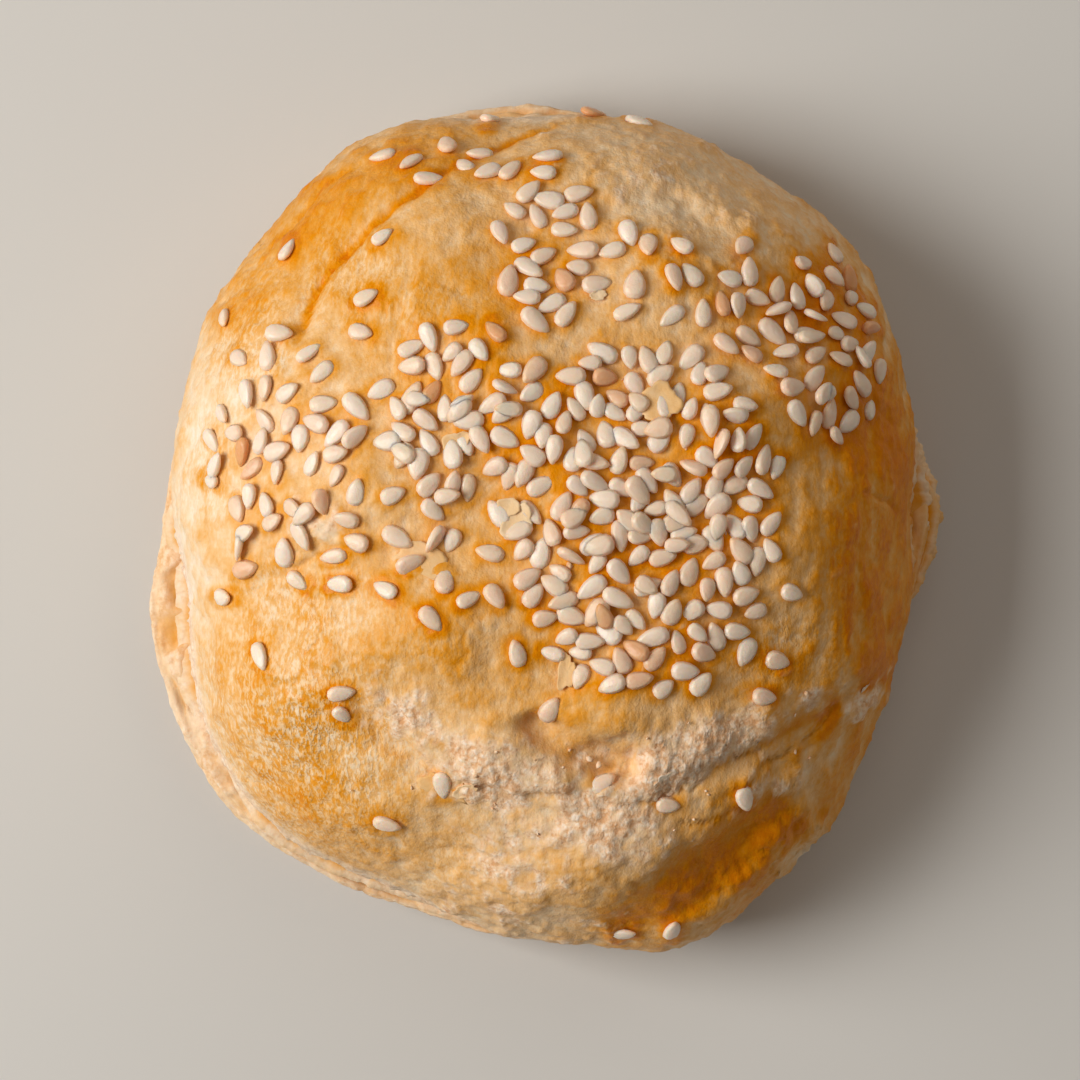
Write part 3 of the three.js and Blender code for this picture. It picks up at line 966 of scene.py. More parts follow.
        tone = browning.plain + browning.blotches * blotch
        tone = tone + browning.specks * speck + browning.streaks * streak
        for stain in self.tones:
            tone = tone + stain.over(warped_x, warped_y)
        # Lifted skin is paler. Along its open edge runs a groove, and a line of painted shadow.
        for flap in self.flaps:
            lift, line = flap.rise(warped_x, warped_y)
            rise = rise + lift - relief.flap_groove * line
            tone = tone - browning.flap_lighter * lift + browning.flap_edge_shadow * line
        for crease in self.cracks:
            distance, along, _ = self.form.nearest_on_crease(crease, bent_x, bent_y)
            line = bell(distance, crease.half) * self.form.crease_ends(along)
            rise = rise - crease.depth * line
            tone = tone + crease.wash * line
        for crease in self.form.creases:
            distance, along, _ = self.form.nearest_on_crease(crease, x, y)
            line = bell(distance, crease.stain_half * (1 + 0.25 * speck))
            tone = tone + crease.wash * line * self.form.crease_ends(along)

        from_seed = self.seed_distance(x, y)
        washed = np.clip(0.75 + 0.8 * lumpy, 0.15, 1.3) * (1 - 0.7 * bare)
        beside_seed = np.maximum(0, from_seed - self.seed_half_width)
        pool = bell(beside_seed, 0.45) * washed
        tone = tone + browning.pools * pool
        rise = rise + relief.wash_bank * bell(beside_seed, 0.4)

        edge = smooth(reach + 0.012 * blotch, 0.972, 0.998) * self.form.slot_opening(angle)
        edge = edge * (1 - 0.75 * right)
        tone = tone - browning.open_rim_lighter * edge
        bare = np.maximum(bare, 0.7 * edge)
        tone = tone * (1 - browning.bare_lighter * bare)
        gloss = self.base_gloss + 0.2 * (tone + pool + blotch)
        gloss = np.clip(gloss, 0, 1) * (1 - 0.9 * bare)
        wrinkled = np.full_like(x, self.least_wrinkled)
        for stain in self.wrinkles:
            wrinkled = np.maximum(wrinkled, stain.over(warped_x, warped_y))
        return Surface(rise, np.clip(tone, 0, browning.darkest), bare, gloss, wrinkled * (1 - bare))


# ---------------------------------------------------------------- meshes


def make_object(
    name: str, places: Numbers, faces: list[list[int]], layers: dict[str, Numbers] | None = None
) -> bpy.types.Object:
    """Makes a mesh object from places in millimetres.

    Args:
        name: The object's name.
        places: Rows of x, y and z, measured from the middle of the oval.
        faces: Corner numbers of each face, outwards by the right-hand rule.
        layers: Numbers for each vertex, by the name that the shader reads.

    Returns:
        The object, linked to the scene, with its place in its mesh.
    """
    shifted = np.asarray(places, float) - np.array([MIDDLE[0], MIDDLE[1], 0.0])
    mesh = bpy.data.meshes.new(name)
    mesh.from_pydata((shifted * MM).tolist(), [], faces)
    for label, numbers in (layers or {}).items():
        layer = mesh.attributes.new(label, "FLOAT", "POINT")
        layer.data.foreach_set("value", np.asarray(numbers, np.float32))
    mesh.update()
    if faces:
        mesh.shade_smooth()
    piece = bpy.data.objects.new(name, mesh)
    bpy.context.scene.collection.objects.link(piece)
    return piece


def adopt(piece: bpy.types.Object, *nodes: str) -> None:
    """Puts a finished piece on the part's body, and in place of CAD nodes."""
    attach(piece, "root")
    if nodes:
        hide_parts(*nodes)
    count = sum(len(face.vertices) - 2 for face in piece.data.polygons)
    LOG.info("%s: %d vertices, %d triangles", piece.name, len(piece.data.vertices), count)


def grid_normals(places: Numbers) -> Numbers:
    """Outward normals of a grid of places.

    Args:
        places: Rows by columns by x, y and z. Columns wrap round, and rows run outwards or down.

    Returns:
        One unit normal a place, in the same layout.
    """
    down = np.gradient(places, axis=0)
    around = np.roll(places, -1, axis=1) - np.roll(places, 1, axis=1)
    normal = np.cross(down, around)
    return normal / np.maximum(np.linalg.norm(normal, axis=2, keepdims=True), 1e-9)


def wrap_faces(rows: int, columns: int, first: int = 0) -> Numbers:
    """Quads between rings that run outwards or down, each of as many places.

    Args:
        rows: Number of rings.
        columns: Places in a ring.
        first: Number of the first place.

    Returns:
        Rows of four corner numbers.
    """
    row, column = np.meshgrid(np.arange(rows - 1), np.arange(columns), indexing="ij")
    beside = (column + 1) % columns
    a = first + row * columns + column
    b = first + row * columns + beside
    return np.stack([a, a + columns, b + columns, b], axis=-1).reshape(-1, 4)


@dataclass
class TopSheet:
    """The glazed sheet over the top, down to its lip and a little way in under it."""

    form: PastryForm
    skin: CrustSkin
    name: str = "glazed_top_sheet"
    cells: int = 300
    rim_share: float = 0.955
    lip_drop: float = 1.15
    lip_inset: float = 0.8
    tuck_in: float = 3.4
    turn_share: float = 1 / 2.2
    lip_ragged: float = 0.1
    torn_ragged: float = 0.42
    torn_layers: float = 0.07
    layers_per_turn: float = 7.5
    tear: Texture = Texture(1.3, 4, 0.7, (1, 1, 0.35))

    def squares_to_disc(self) -> tuple[Numbers, Numbers]:
        """Spreads a square grid evenly over a disc.

        Returns:
            The angle and the share of the way out of each grid place.
        """
        side = np.linspace(-1, 1, self.cells + 1)
        a, b = np.meshgrid(side, side, indexing="xy")
        wide = np.abs(a) > np.abs(b)
        out = np.where(wide, a, b)
        ratio = np.divide(np.where(wide, b, a), out, out=np.zeros_like(out), where=out != 0)
        angle = np.where(wide, math.pi / 4 * ratio, math.pi / 2 - math.pi / 4 * ratio)
        angle = np.where(out < 0, angle + math.pi, angle)
        return angle.ravel(), np.abs(out).ravel()

    def even_reach(self, share: Numbers) -> Numbers:
        """Spaces places evenly along the dome's curve.

        Args:
            share: Shares of the way along the curve, from the crown to the rim.

        Returns:
            The share of the radius at each.
        """
        form = self.form
        reach = np.sin(np.linspace(0, math.pi / 2, 2000))
        dome = np.maximum(0, 1 - reach**form.dome_fullness) ** form.dome_rounding
        height = (form.crown_height - form.rim_height_low) * dome
        radius = 0.5 * (form.half_width + form.half_length) * reach
        run = np.concatenate([[0], np.cumsum(np.hypot(np.diff(radius), np.diff(height)))])
        return np.interp(share, run / run[-1], reach)

    def smooth_places(self, angle: Numbers, share: Numbers) -> Numbers:
        """Places of the sheet before its small relief, from crown to lip."""
        form = self.form
        rim = form.rim_radius(angle)
        reach = self.even_reach(np.minimum(1, share / self.rim_share))
        radius = reach * rim
        height = form.crown(angle, reach)
        under = np.clip((share - self.rim_share) / (1 - self.rim_share), 0, 1)
        bend = np.minimum(1, under / self.turn_share) * math.pi / 2
        inward = np.maximum(0, under - self.turn_share) * self.tuck_in / (1 - self.turn_share)
        radius = radius - self.lip_inset * (1 - np.cos(bend)) - inward
        height = height - self.lip_drop * np.sin(bend)
        return np.stack([radius * np.cos(angle), radius * np.sin(angle), height], axis=-1)

    def outward(self, angle: Numbers, share: Numbers) -> Numbers:
        """Which way the smooth sheet faces at each place, from the places just beside it."""
        step, turn, middle = 0.4 / self.cells, 0.004, 0.004
        further = self.smooth_places(angle, np.minimum(1, share + step))
        nearer = self.smooth_places(angle, np.maximum(0.5 * middle, share - step))
        turned = self.smooth_places(angle + turn, np.maximum(middle, share))
        back = self.smooth_places(angle - turn, np.maximum(middle, share))
        normal = np.cross(further - nearer, turned - back)
        normal /= np.maximum(np.linalg.norm(normal, axis=1, keepdims=True), 1e-12)
        normal[share < middle] = (0, 0, 1)
        return normal

    def build(self) -> bpy.types.Object:
        """Makes the sheet.

        Returns:
            The closed mesh, with its browning, painted highlight and shade, bare flour and gloss on its
            vertices.
        """
        angle, share = self.squares_to_disc()
        places = self.smooth_places(angle, share)
        surface = self.skin.at(places)
        lip = smooth(share, self.rim_share - 0.03, self.rim_share + 0.012)
        ragged = self.tear.read(self.skin.fine, places)
        torn = self.form.slot_opening(angle)
        bend = 1.5 * self.skin.coarse.layered(places, 5, 2)
        lines = np.sin(self.layers_per_turn * places[:, 2] + bend)
        torn_rise = (self.lip_ragged + self.torn_ragged * torn) * ragged + self.torn_layers * torn * lines
        rise = surface.rise + lip * torn_rise
        places = places + rise[:, None] * self.outward(angle, share)

        side = self.cells + 1
        row, column = np.meshgrid(np.arange(self.cells), np.arange(self.cells), indexing="ij")
        corner = (row * side + column).ravel()
        quads = np.stack([corner, corner + 1, corner + side + 1, corner + side], axis=-1).tolist()
        top = np.arange(self.cells)
        edge = np.concatenate(
            [top, top * side + self.cells, side * side - 1 - top, (self.cells - top) * side]
        )
        middle = len(places)
        places = np.vstack([places, [0, 0, self.form.rim_height_low]])
        closing = [[int(b), int(a), middle] for a, b in zip(edge, np.roll(edge, -1))]
        layers = {
            "tone": np.append(surface.tone, 0.5),
            "bare": np.append(surface.bare, 0),
            "gloss": np.append(surface.gloss, 0),
            "wrinkled": np.append(surface.wrinkled, 0),
        }
        return make_object(self.name, places, quads + closing, layers)


@dataclass
class LayeredSide:
    """The side under the lip, where the layers of the dough show, and the underside."""

    form: PastryForm
    name: str = "layered_side"
    random_starts: tuple[int, int] = (81, 82)
    columns: int = 800
    rows: int = 100
    thin_layers: float = 12
    threads: float = 30
    reach_depth: float = 0.34
    tear_depth: float = 0.17
    groove_depth: float = 0.62
    thread_depth: float = 0.05
    grit_depth: float = 0.05
    hollow_depth: float = 0.7
    hollow_level: float = 0.235
    # Level of a dark line just under the lip, which is painted shade.
    painted_lip_shade_level: float = 0.165
    reaches: Texture = Texture(7, 3, 0.6)
    tears: Texture = Texture(1.6, 3, 0.65, shift=50)
    gaps: Texture = Texture(11, 2, shift=120)
    slopes: Texture = Texture(16, 3, stretch=(1, 1, 0.3))
    hollows: Texture = Texture(8, 3, 0.6, shift=210)
    # Swells round the right, the side away from the key light: the dough is browner there, and the extra
    # tone is also painted shade, most of all in the grooves.
    browned_and_shaded: tuple[Swell, ...] = (Swell(0, 24, 0.3), Swell(300, 22, 0.14))
    start_level: float = 0.08
    under_shares: tuple[float, ...] = (0.985, 0.94, 0.86, 0.74, 0.58, 0.4, 0.2)

    def __post_init__(self) -> None:
        """Sets up the noise."""
        self.coarse, self.fine = (Grain(start) for start in self.random_starts)

    def layer_relief(self, angle: Numbers, level: Numbers, places: Numbers) -> tuple[Numbers, Numbers]:
        """How far the thin layers stand out, and how deep between two of them a place lies.

        Args:
            angle: Angles.
            level: Levels below the rim.
            places: The same places in space.

        Returns:
            The outward distance, and 0 on a layer's edge to 1 in the gap under it.
        """
        slow = self.slopes.read(self.coarse, places)
        count = self.thin_layers * level + 0.9 * slow + 0.35 * np.sin(5 * angle + 3 * level)
        number = np.floor(count)
        share = count - number
        label = np.stack([places[:, 0], places[:, 1], 31.7 * number], axis=-1)
        reach = self.reaches.read(self.fine, label)
        tear = self.tears.read(self.fine, label)
        gap = self.gaps.read(self.coarse, label)
        threads = np.sin(2 * math.pi * (self.threads * level + 1.4 * slow))
        openness = 0.35 + 0.65 * self.form.slot_opening(angle)
        from_gap = np.minimum(share, 1 - share)
        depth = np.clip(0.45 + 0.8 * gap, 0.08, 1.2) * openness
        depth = depth * (1 + 2.6 * self.form.swell_at(self.browned_and_shaded, angle))
        groove = bell(from_gap, 0.17)
        out = openness * (self.reach_depth * reach + self.tear_depth * tear) * (1 - groove)
        out = out - self.groove_depth * depth * groove + self.thread_depth * threads * openness
        return out, groove * np.clip(depth, 0, 1) - 0.1 * threads

    def hollow(self, angle: Numbers, level: Numbers) -> Numbers:
        """How far each place lies in one of the long hollows of the open ledge, from 0 to 1."""
        radius = self.form.half_width
        label = np.stack([radius * np.cos(angle), radius * np.sin(angle), 24 * level], axis=-1)
        long = smooth(self.hollows.read(self.coarse, label), -0.12, 0.25)
        return long * bell(level - self.hollow_level, 0.055) * self.form.slot_opening(angle)

    def build(self) -> bpy.types.Object:
        """Makes the side.

        Returns:
            The closed mesh, with its browning and painted shade, bare flour and gloss on its vertices.
        """
        form = self.form
        around = np.linspace(0, 2 * math.pi, self.columns, endpoint=False)
        levels = self.start_level + (1 - self.start_level) * np.linspace(0, 1, self.rows)
        level, angle = np.meshgrid(levels, around, indexing="ij")
        flat_angle, flat_level = angle.ravel(), level.ravel()
        radius = form.side_radius(flat_angle, flat_level)
        height = form.rim_height(flat_angle) * (1 - flat_level)
        places = np.stack([radius * np.cos(flat_angle), radius * np.sin(flat_angle), height], axis=-1)
        out, gap = self.layer_relief(flat_angle, flat_level, places)
        shape = (self.rows, self.columns, 3)
        normal = grid_normals(places.reshape(shape)).reshape(-1, 3)
        grit = self.fine.layered(places, 0.9, 2, 0.6)
        hollow = self.hollow(flat_angle, flat_level)
        foot = 1 - smooth(flat_level, 0.9, 0.99)
        rise = (out + self.grit_depth * grit - self.hollow_depth * hollow) * foot
        places = places + rise[:, None] * normal
        hide = smooth(flat_level, self.start_level, self.start_level + 0.05)
        tucked = 1 - (1 - hide) * 1.6 / radius
        places[:, :2] *= tucked[:, None]
        places[:, 2] = np.maximum(places[:, 2], 0)
        places[-self.columns :, 2] = 0

        blotch = self.coarse.layered(places, 5, 4, 0.6)
        opening = form.slot_opening(flat_angle)
        on_ledge = smooth(flat_level, 0.1, 0.2) * (1 - smooth(flat_level, 0.3, 0.42)) * opening
        brown = form.swell_at(self.browned_and_shaded, flat_angle)
        # Gaps between layers are browner. On the right the side and its gaps are darkened further, partly as
        # painted shade.
        tone = 0.18 + (0.24 + brown) * gap + 0.12 * blotch + 0.08 * on_ledge
        tone = tone + 0.3 * smooth(flat_level, 0.8, 1) + 0.16 * (1 - opening)
        # A dark line just under the lip is painted shade.
        painted_lip_shade = bell(flat_level - self.painted_lip_shade_level, 0.028) * opening
        tone = tone + 0.24 * hollow + 0.8 * brown + (0.2 + brown) * painted_lip_shade
        bare = np.clip(0.55 - 0.9 * gap + 0.3 * blotch, 0, 1) * (1 - smooth(flat_level, 0.75, 0.95))
        bare = bare * (1 - hollow) * (1 - 2 * brown) * (1 - 0.7 * painted_lip_shade)
        gloss = 0.15 + 0.2 * gap + 0.4 * hollow

        foot_ring = places[-self.columns :]
        under = [foot_ring * np.array([share, share, 0]) for share in self.under_shares]
        top_ring = places[: self.columns]
        inner = top_ring * np.array([0.9, 0.9, 1.0])
        rings = np.vstack([inner, places, *under])
        count = len(rings) // self.columns
        faces = wrap_faces(count, self.columns).tolist()
        roof, floor = len(rings), len(rings) + 1
        last = (count - 1) * self.columns
        for column in range(self.columns):
            beside = (column + 1) % self.columns
            faces.append([roof, column, beside])
            faces.append([floor, last + beside, last + column])
        places = np.vstack([rings, [0, 0, form.rim_height_low], [0, 0, 0]])
        rest = len(under) * self.columns + 2
        layers = {
            "tone": np.concatenate([np.full(self.columns, 0.3), tone, np.full(rest, 0.72)]),
            "bare": np.concatenate([np.zeros(self.columns), bare, np.zeros(rest)]),
            "gloss": np.concatenate([np.zeros(self.columns), gloss, np.full(rest, 0.1)]),
        }
        return make_object(self.name, places, faces, {k: np.clip(v, 0, 1) for k, v in layers.items()})


@dataclass
class Pile:
    """Closed shells gathered for one mesh, with how brown each of their places is."""

    places: list[Numbers] = field(default_factory=list)
    tones: list[Numbers] = field(default_factory=list)
    faces: list[list[int]] = field(default_factory=list)

    def add(self, shell: Numbers, tone: Numbers, faces_from: Callable[[int], list[list[int]]]) -> None:
        """Adds one shell.

        Args:
            shell: Its places.
            tone: How brown each of them is.
            faces_from: Gives its faces, once it is told the number of its first place.
        """
        self.faces += faces_from(sum(len(rows) for rows in self.places))
        self.places.append(shell)
        self.tones.append(tone)


@dataclass(frozen=True)
class Leaf:
    """A thin leaf of dough that stands out of the side: its stretch, level, reach and sag."""

    at: float
    spread: float
    level: float
    reach: float
    sag: float
    tone: float = 0.22
    crimp: float = 0.08


@dataclass
class OpenLeaves:
    """The leaves of dough that came away round the side."""

    form: PastryForm
    name: str = "open_leaves"
    random_start: int = 91
    thickness: float = 0.3
    columns: int = 150
    rows: int = 9
    root: float = 2.4
    # Browning at each leaf's root is painted shade in the gap under the lip or the leaf above.
    root_painted_shade: float = 0.5
    tip_browner: float = 0.08
    lower_browner: float = 0.1
    wave: float = 0.35
    tears: Texture = Texture(2.2, 4, 0.65)
    reaches: Texture = Texture(9, 2, shift=9)
    crimps: Texture = Texture(0.9, 2, 0.7, shift=31)
    waves: Texture = Texture(5, 2, shift=60)
    leaves: tuple[Leaf, ...] = (
        # The leaves round the right have more tone than the others: browner dough and painted shade on the
        # side away from the key light.
        Leaf(10, 10, 0.16, 0.7, 0.1, 0.26, 0.16),
        Leaf(-3, 8, 0.2, 0.5, 0.1, 0.34, 0.2),
        Leaf(10, 10, 0.26, 0.7, 0.3, 0.2, 0.2),
        Leaf(-2, 9, 0.31, 0.9, 0.3, 0.36, 0.24),
        Leaf(9, 11, 0.4, 0.5, 0.4, 0.26, 0.24),
        Leaf(-3, 9, 0.44, 1.2, 0.4, 0.36, 0.24),
        Leaf(198, 22, 0.16, 2.6, 0.8),
        Leaf(207, 30, 0.43, 0.7, 0.4),
        Leaf(236, 20, 0.17, 1.7, 0.7),
        Leaf(252, 24, 0.45, 0.6, 0.3),
        Leaf(95, 11, 0.19, 1.5, 0.5),
        Leaf(128, 20, 0.46, 0.7, 0.3),
        Leaf(62, 17, 0.7, 0.5, 0.2),
        Leaf(300, 22, 0.48, 0.6, 0.3),
        Leaf(335, 18, 0.68, 0.5, 0.2),
        Leaf(160, 16, 0.7, 0.6, 0.2),
    )

    def build(self) -> bpy.types.Object:
        """Makes all leaves as one mesh of closed strips.

        Returns:
            The mesh, with its browning, bare flour and gloss on its vertices.
        """
        ragged = Grain(self.random_start)
        pile = Pile()
        for order, leaf in enumerate(self.leaves):
            shell, tone = self.shell(leaf, order, ragged)
            pile.add(shell, tone, self.shell_faces)
        tone = np.concatenate(pile.tones)
        layers = {
            "tone": np.clip(tone, 0, 1),
            "bare": np.clip(0.62 - tone, 0, 1),
            "gloss": np.full(len(tone), 0.12),
        }
        return make_object(self.name, np.vstack(pile.places), pile.faces, layers)

    def shell(self, leaf: Leaf, order: int, ragged: Grain) -> tuple[Numbers, Numbers]:
        """One leaf's places, its upper face and then its lower face, and its browning."""
        form = self.form
        along = np.linspace(-1, 1, self.columns)
        across = np.linspace(0, 1, self.rows)
        out, share = np.meshgrid(across, along, indexing="ij")
        out, share = out.ravel(), share.ravel()
        angle = math.radians(leaf.at) + math.radians(leaf.spread) * share
        level = np.full_like(angle, leaf.level) + 0.03 * np.sin(4 * angle + order)
        side = form.side_radius(angle, level)
        taper = np.sqrt(np.maximum(0, 1 - share**2))
        edge = np.stack([side * np.cos(angle), side * np.sin(angle), 23.0 * np.full_like(side, order)], -1)
        tear = self.tears.read(ragged, edge)
        slow = 1 + 0.25 * self.reaches.read(ragged, edge)
        crimp = leaf.crimp * self.crimps.read(ragged, edge)
        reach = (leaf.reach * slow + (0.1 + leaf.crimp) * tear + crimp) * taper
        radius = side - self.root + out * (self.root + reach)
        wave = self.wave * self.waves.read(ragged, edge) * out
        height = form.rim_height(angle) * (1 - level) - leaf.sag * out**2 + wave
        thin = 0.5 * self.thickness * (1 - 0.65 * out**2) * (0.25 + 0.75 * taper)
        x, y = radius * np.cos(angle), radius * np.sin(angle)
        upper = np.stack([x, y, height + thin], -1)
        lower = np.stack([x, y, height - thin], -1)
        # Darker towards the root: painted shade in the gap the leaf stands out of.
        tone = leaf.tone + self.root_painted_shade * (1 - smooth(out, 0.6, 0.9))
        tone = tone + 0.12 * tear + self.tip_browner * smooth(out, 0.9, 1)
        return np.vstack([upper, lower]), np.concatenate([tone, tone + self.lower_browner])

    def shell_faces(self, first: int) -> list[list[int]]:
        """The faces of one leaf, whose places start at the number given."""
        size = self.rows * self.columns
        faces = []
        for row in range(self.rows - 1):
            for column in range(self.columns - 1):
                a = first + row * self.columns + column
                b = a + self.columns
                faces.append([a, b, b + 1, a + 1])
                faces.append([a + size, a + size + 1, b + size + 1, b + size])
        rim = [column for column in range(self.columns - 1)]
        rim += [row * self.columns + self.columns - 1 for row in range(self.rows - 1)]
        rim += [size - 1 - column for column in range(self.columns - 1)]
        rim += [(self.rows - 1 - row) * self.columns for row in range(self.rows - 1)]
        for a, b in zip(rim, rim[1:] + rim[:1]):
            faces.append([first + a, first + b, first + b + size, first + a + size])
        return faces


@dataclass(frozen=True)
class Scrap:
    """A thin scrap of skin on the crust: its place, half sizes, turn, lift and curl."""

    x: float
    y: float
    half_x: float
    half_y: float
    turn: float
    lift: float
    curl: float
    tone: float


@dataclass
class SkinScraps:
    """Thin scraps of baked skin that lie on the crust and the sesame."""

    form: PastryForm
    skin: CrustSkin
    name: str = "skin_scraps"
    random_start: int = 101
    thickness: float = 0.15
    columns: int = 36
    rows: int = 6
    mottle: Texture = Texture(1.5, 2)
    ragged_edge: Texture = Texture(0.9, 4, 0.6)
    waves: Texture = Texture(2.5, 2)
    scraps: tuple[Scrap, ...] = (
        Scrap(11.1, 11.9, 2.2, 1.9, 20, 0.72, 0.3, 0.3),
        Scrap(-9.9, -25.5, 2.7, 1.3, -20, 0.12, 0.15, 0.34),
        Scrap(-2.7, 0.4, 1.9, 1.4, 60, 0.5, 0.6, 0.16),
        Scrap(-3.4, 1.9, 1.2, 0.9, 10, 0.72, 0.4, 0.2),
        Scrap(-11.8, -3.4, 2.6, 1.6, -12, 0.12, 0.2, 0.26),
        Scrap(-7.6, -25.9, 1.2, 0.7, 20, 0.25, 0.5, 0.2),
        Scrap(5.3, 22.6, 0.9, 0.5, 10, 0.2, 0.3, 0.15),
        Scrap(12.2, -24.8, 1.5, 0.8, 20, 0.3, 0.3, 0.02),
        Scrap(32.6, -16.4, 1.0, 0.6, 40, 0.1, 0.2, 0.06),
        Scrap(2.2, -14.2, 1.7, 0.9, 80, 0.15, 0.3, 0.3),
        Scrap(-8.4, 8.2, 1.5, 1.1, 30, 0.25, 0.4, 0.24),
    )

    def build(self) -> bpy.types.Object:
        """Makes all scraps as one mesh of closed shells.

        Returns:
            The mesh, with its browning, bare flour and gloss on its vertices.
        """
        ragged = Grain(self.random_start)
        pile = Pile()
        for order, scrap in enumerate(self.scraps):
            shell = self.shell(scrap, order, ragged)
            tone = scrap.tone + 0.08 * self.mottle.read(ragged, shell)
            pile.add(shell, tone, self.shell_faces)
        tone = np.concatenate(pile.tones)
        layers = {
            "tone": np.clip(tone + 0.14, 0, 1),
            "bare": np.zeros(len(tone)),
            "gloss": np.full(len(tone), 0.5),
        }
        return make_object(self.name, np.vstack(pile.places), pile.faces, layers)

    def shell(self, scrap: Scrap, order: int, ragged: Grain) -> Numbers:
        """One scrap's places: its upper middle, upper rings, lower rings and lower middle."""
        angle = np.linspace(0, 2 * math.pi, self.columns, endpoint=False)
        lattice = np.stack([np.cos(angle), np.sin(angle), np.full_like(angle, 7.1 * order)], -1)
        edge = 1 + 0.3 * self.ragged_edge.read(ragged, lattice)
        cos, sin = math.cos(math.radians(scrap.turn)), math.sin(math.radians(scrap.turn))
        upper, lower = [], []
        for out in np.linspace(0, 1, self.rows + 1)[1:]:
            u = scrap.half_x * out * edge * np.cos(angle)
            v = scrap.half_y * out * edge * np.sin(angle)
            x = scrap.x + u * cos - v * sin
            y = scrap.y + u * sin + v * cos
            lattice = np.stack([x, y, np.full_like(x, 3.3 * order)], -1)
            bend = scrap.curl * out**2 * (0.6 + 0.8 * self.waves.read(ragged, lattice))
            height = self.form.height_over(x, y) + scrap.lift + bend
            thin = 0.5 * self.thickness * (1 - 0.7 * out**3)
            upper.append(np.stack([x, y, height + thin], -1))
            lower.append(np.stack([x, y, height - thin], -1))
        middle = float(self.form.height_over(np.array([scrap.x]), np.array([scrap.y]))[0]) + scrap.lift
        top = [scrap.x, scrap.y, middle + 0.5 * self.thickness]
        bottom = [scrap.x, scrap.y, middle - 0.5 * self.thickness]
        return np.vstack([[top], *upper, *lower[::-1], [bottom]])

    def shell_faces(self, first: int) -> list[list[int]]:
        """The faces of one scrap, whose places start at the number given."""
        faces = wrap_faces(2 * self.rows, self.columns, first + 1).tolist()
        last = first + 1 + (2 * self.rows - 1) * self.columns
        bottom = first + 1 + 2 * self.rows * self.columns
        for column in range(self.columns):
            beside = (column + 1) % self.columns
            faces.append([first, first + 1 + column, first + 1 + beside])
            faces.append([bottom, last + beside, last + column])
        return faces


# ---------------------------------------------------------------- node trees


class Reading:
    """A number in a node tree. Its operators add Math nodes."""

    def __init__(self, desk: "Desk", socket: bpy.types.NodeSocket) -> None:
        """Wraps a socket.

        Args:
            desk: The tree's desk.
            socket: The output that gives the number.
        """
        self.desk = desk
        self.socket = socket

    def math(self, operation: str, *terms: "Reading | float") -> "Reading":
        """Adds a Math node."""
        inputs = dict(enumerate(terms))
        return self.desk.read(self.desk.node("ShaderNodeMath", {"operation": operation}, inputs))

    def __add__(self, other: "Reading | float") -> "Reading":
        """Sum."""
        return self.math("ADD", self, other)

    def __radd__(self, other: float) -> "Reading":
        """Sum, the other way round."""
        return self.math("ADD", other, self)

    def __sub__(self, other: "Reading | float") -> "Reading":
        """Difference."""
        return self.math("SUBTRACT", self, other)

    def __rsub__(self, other: float) -> "Reading":
        """Difference, the other way round."""
        return self.math("SUBTRACT", other, self)

    def __mul__(self, other: "Reading | float") -> "Reading":
        """Product."""
        return self.math("MULTIPLY", self, other)

    def __rmul__(self, other: float) -> "Reading":
        """Product, the other way round."""
        return self.math("MULTIPLY", other, self)

    def held(self) -> "Reading":
        """The number kept from 0 to 1."""
        return self.math("MAXIMUM", self.math("MINIMUM", self, 1.0), 0.0)

    def step(self, low: float, high: float) -> "Reading":
        """A soft step from 0 at low to 1 at high."""
        settings = {"interpolation_type": "SMOOTHSTEP"}
        inputs = {"Value": self, "From Min": low, "From Max": high}
        return self.desk.read(self.desk.node("ShaderNodeMapRange", settings, inputs))


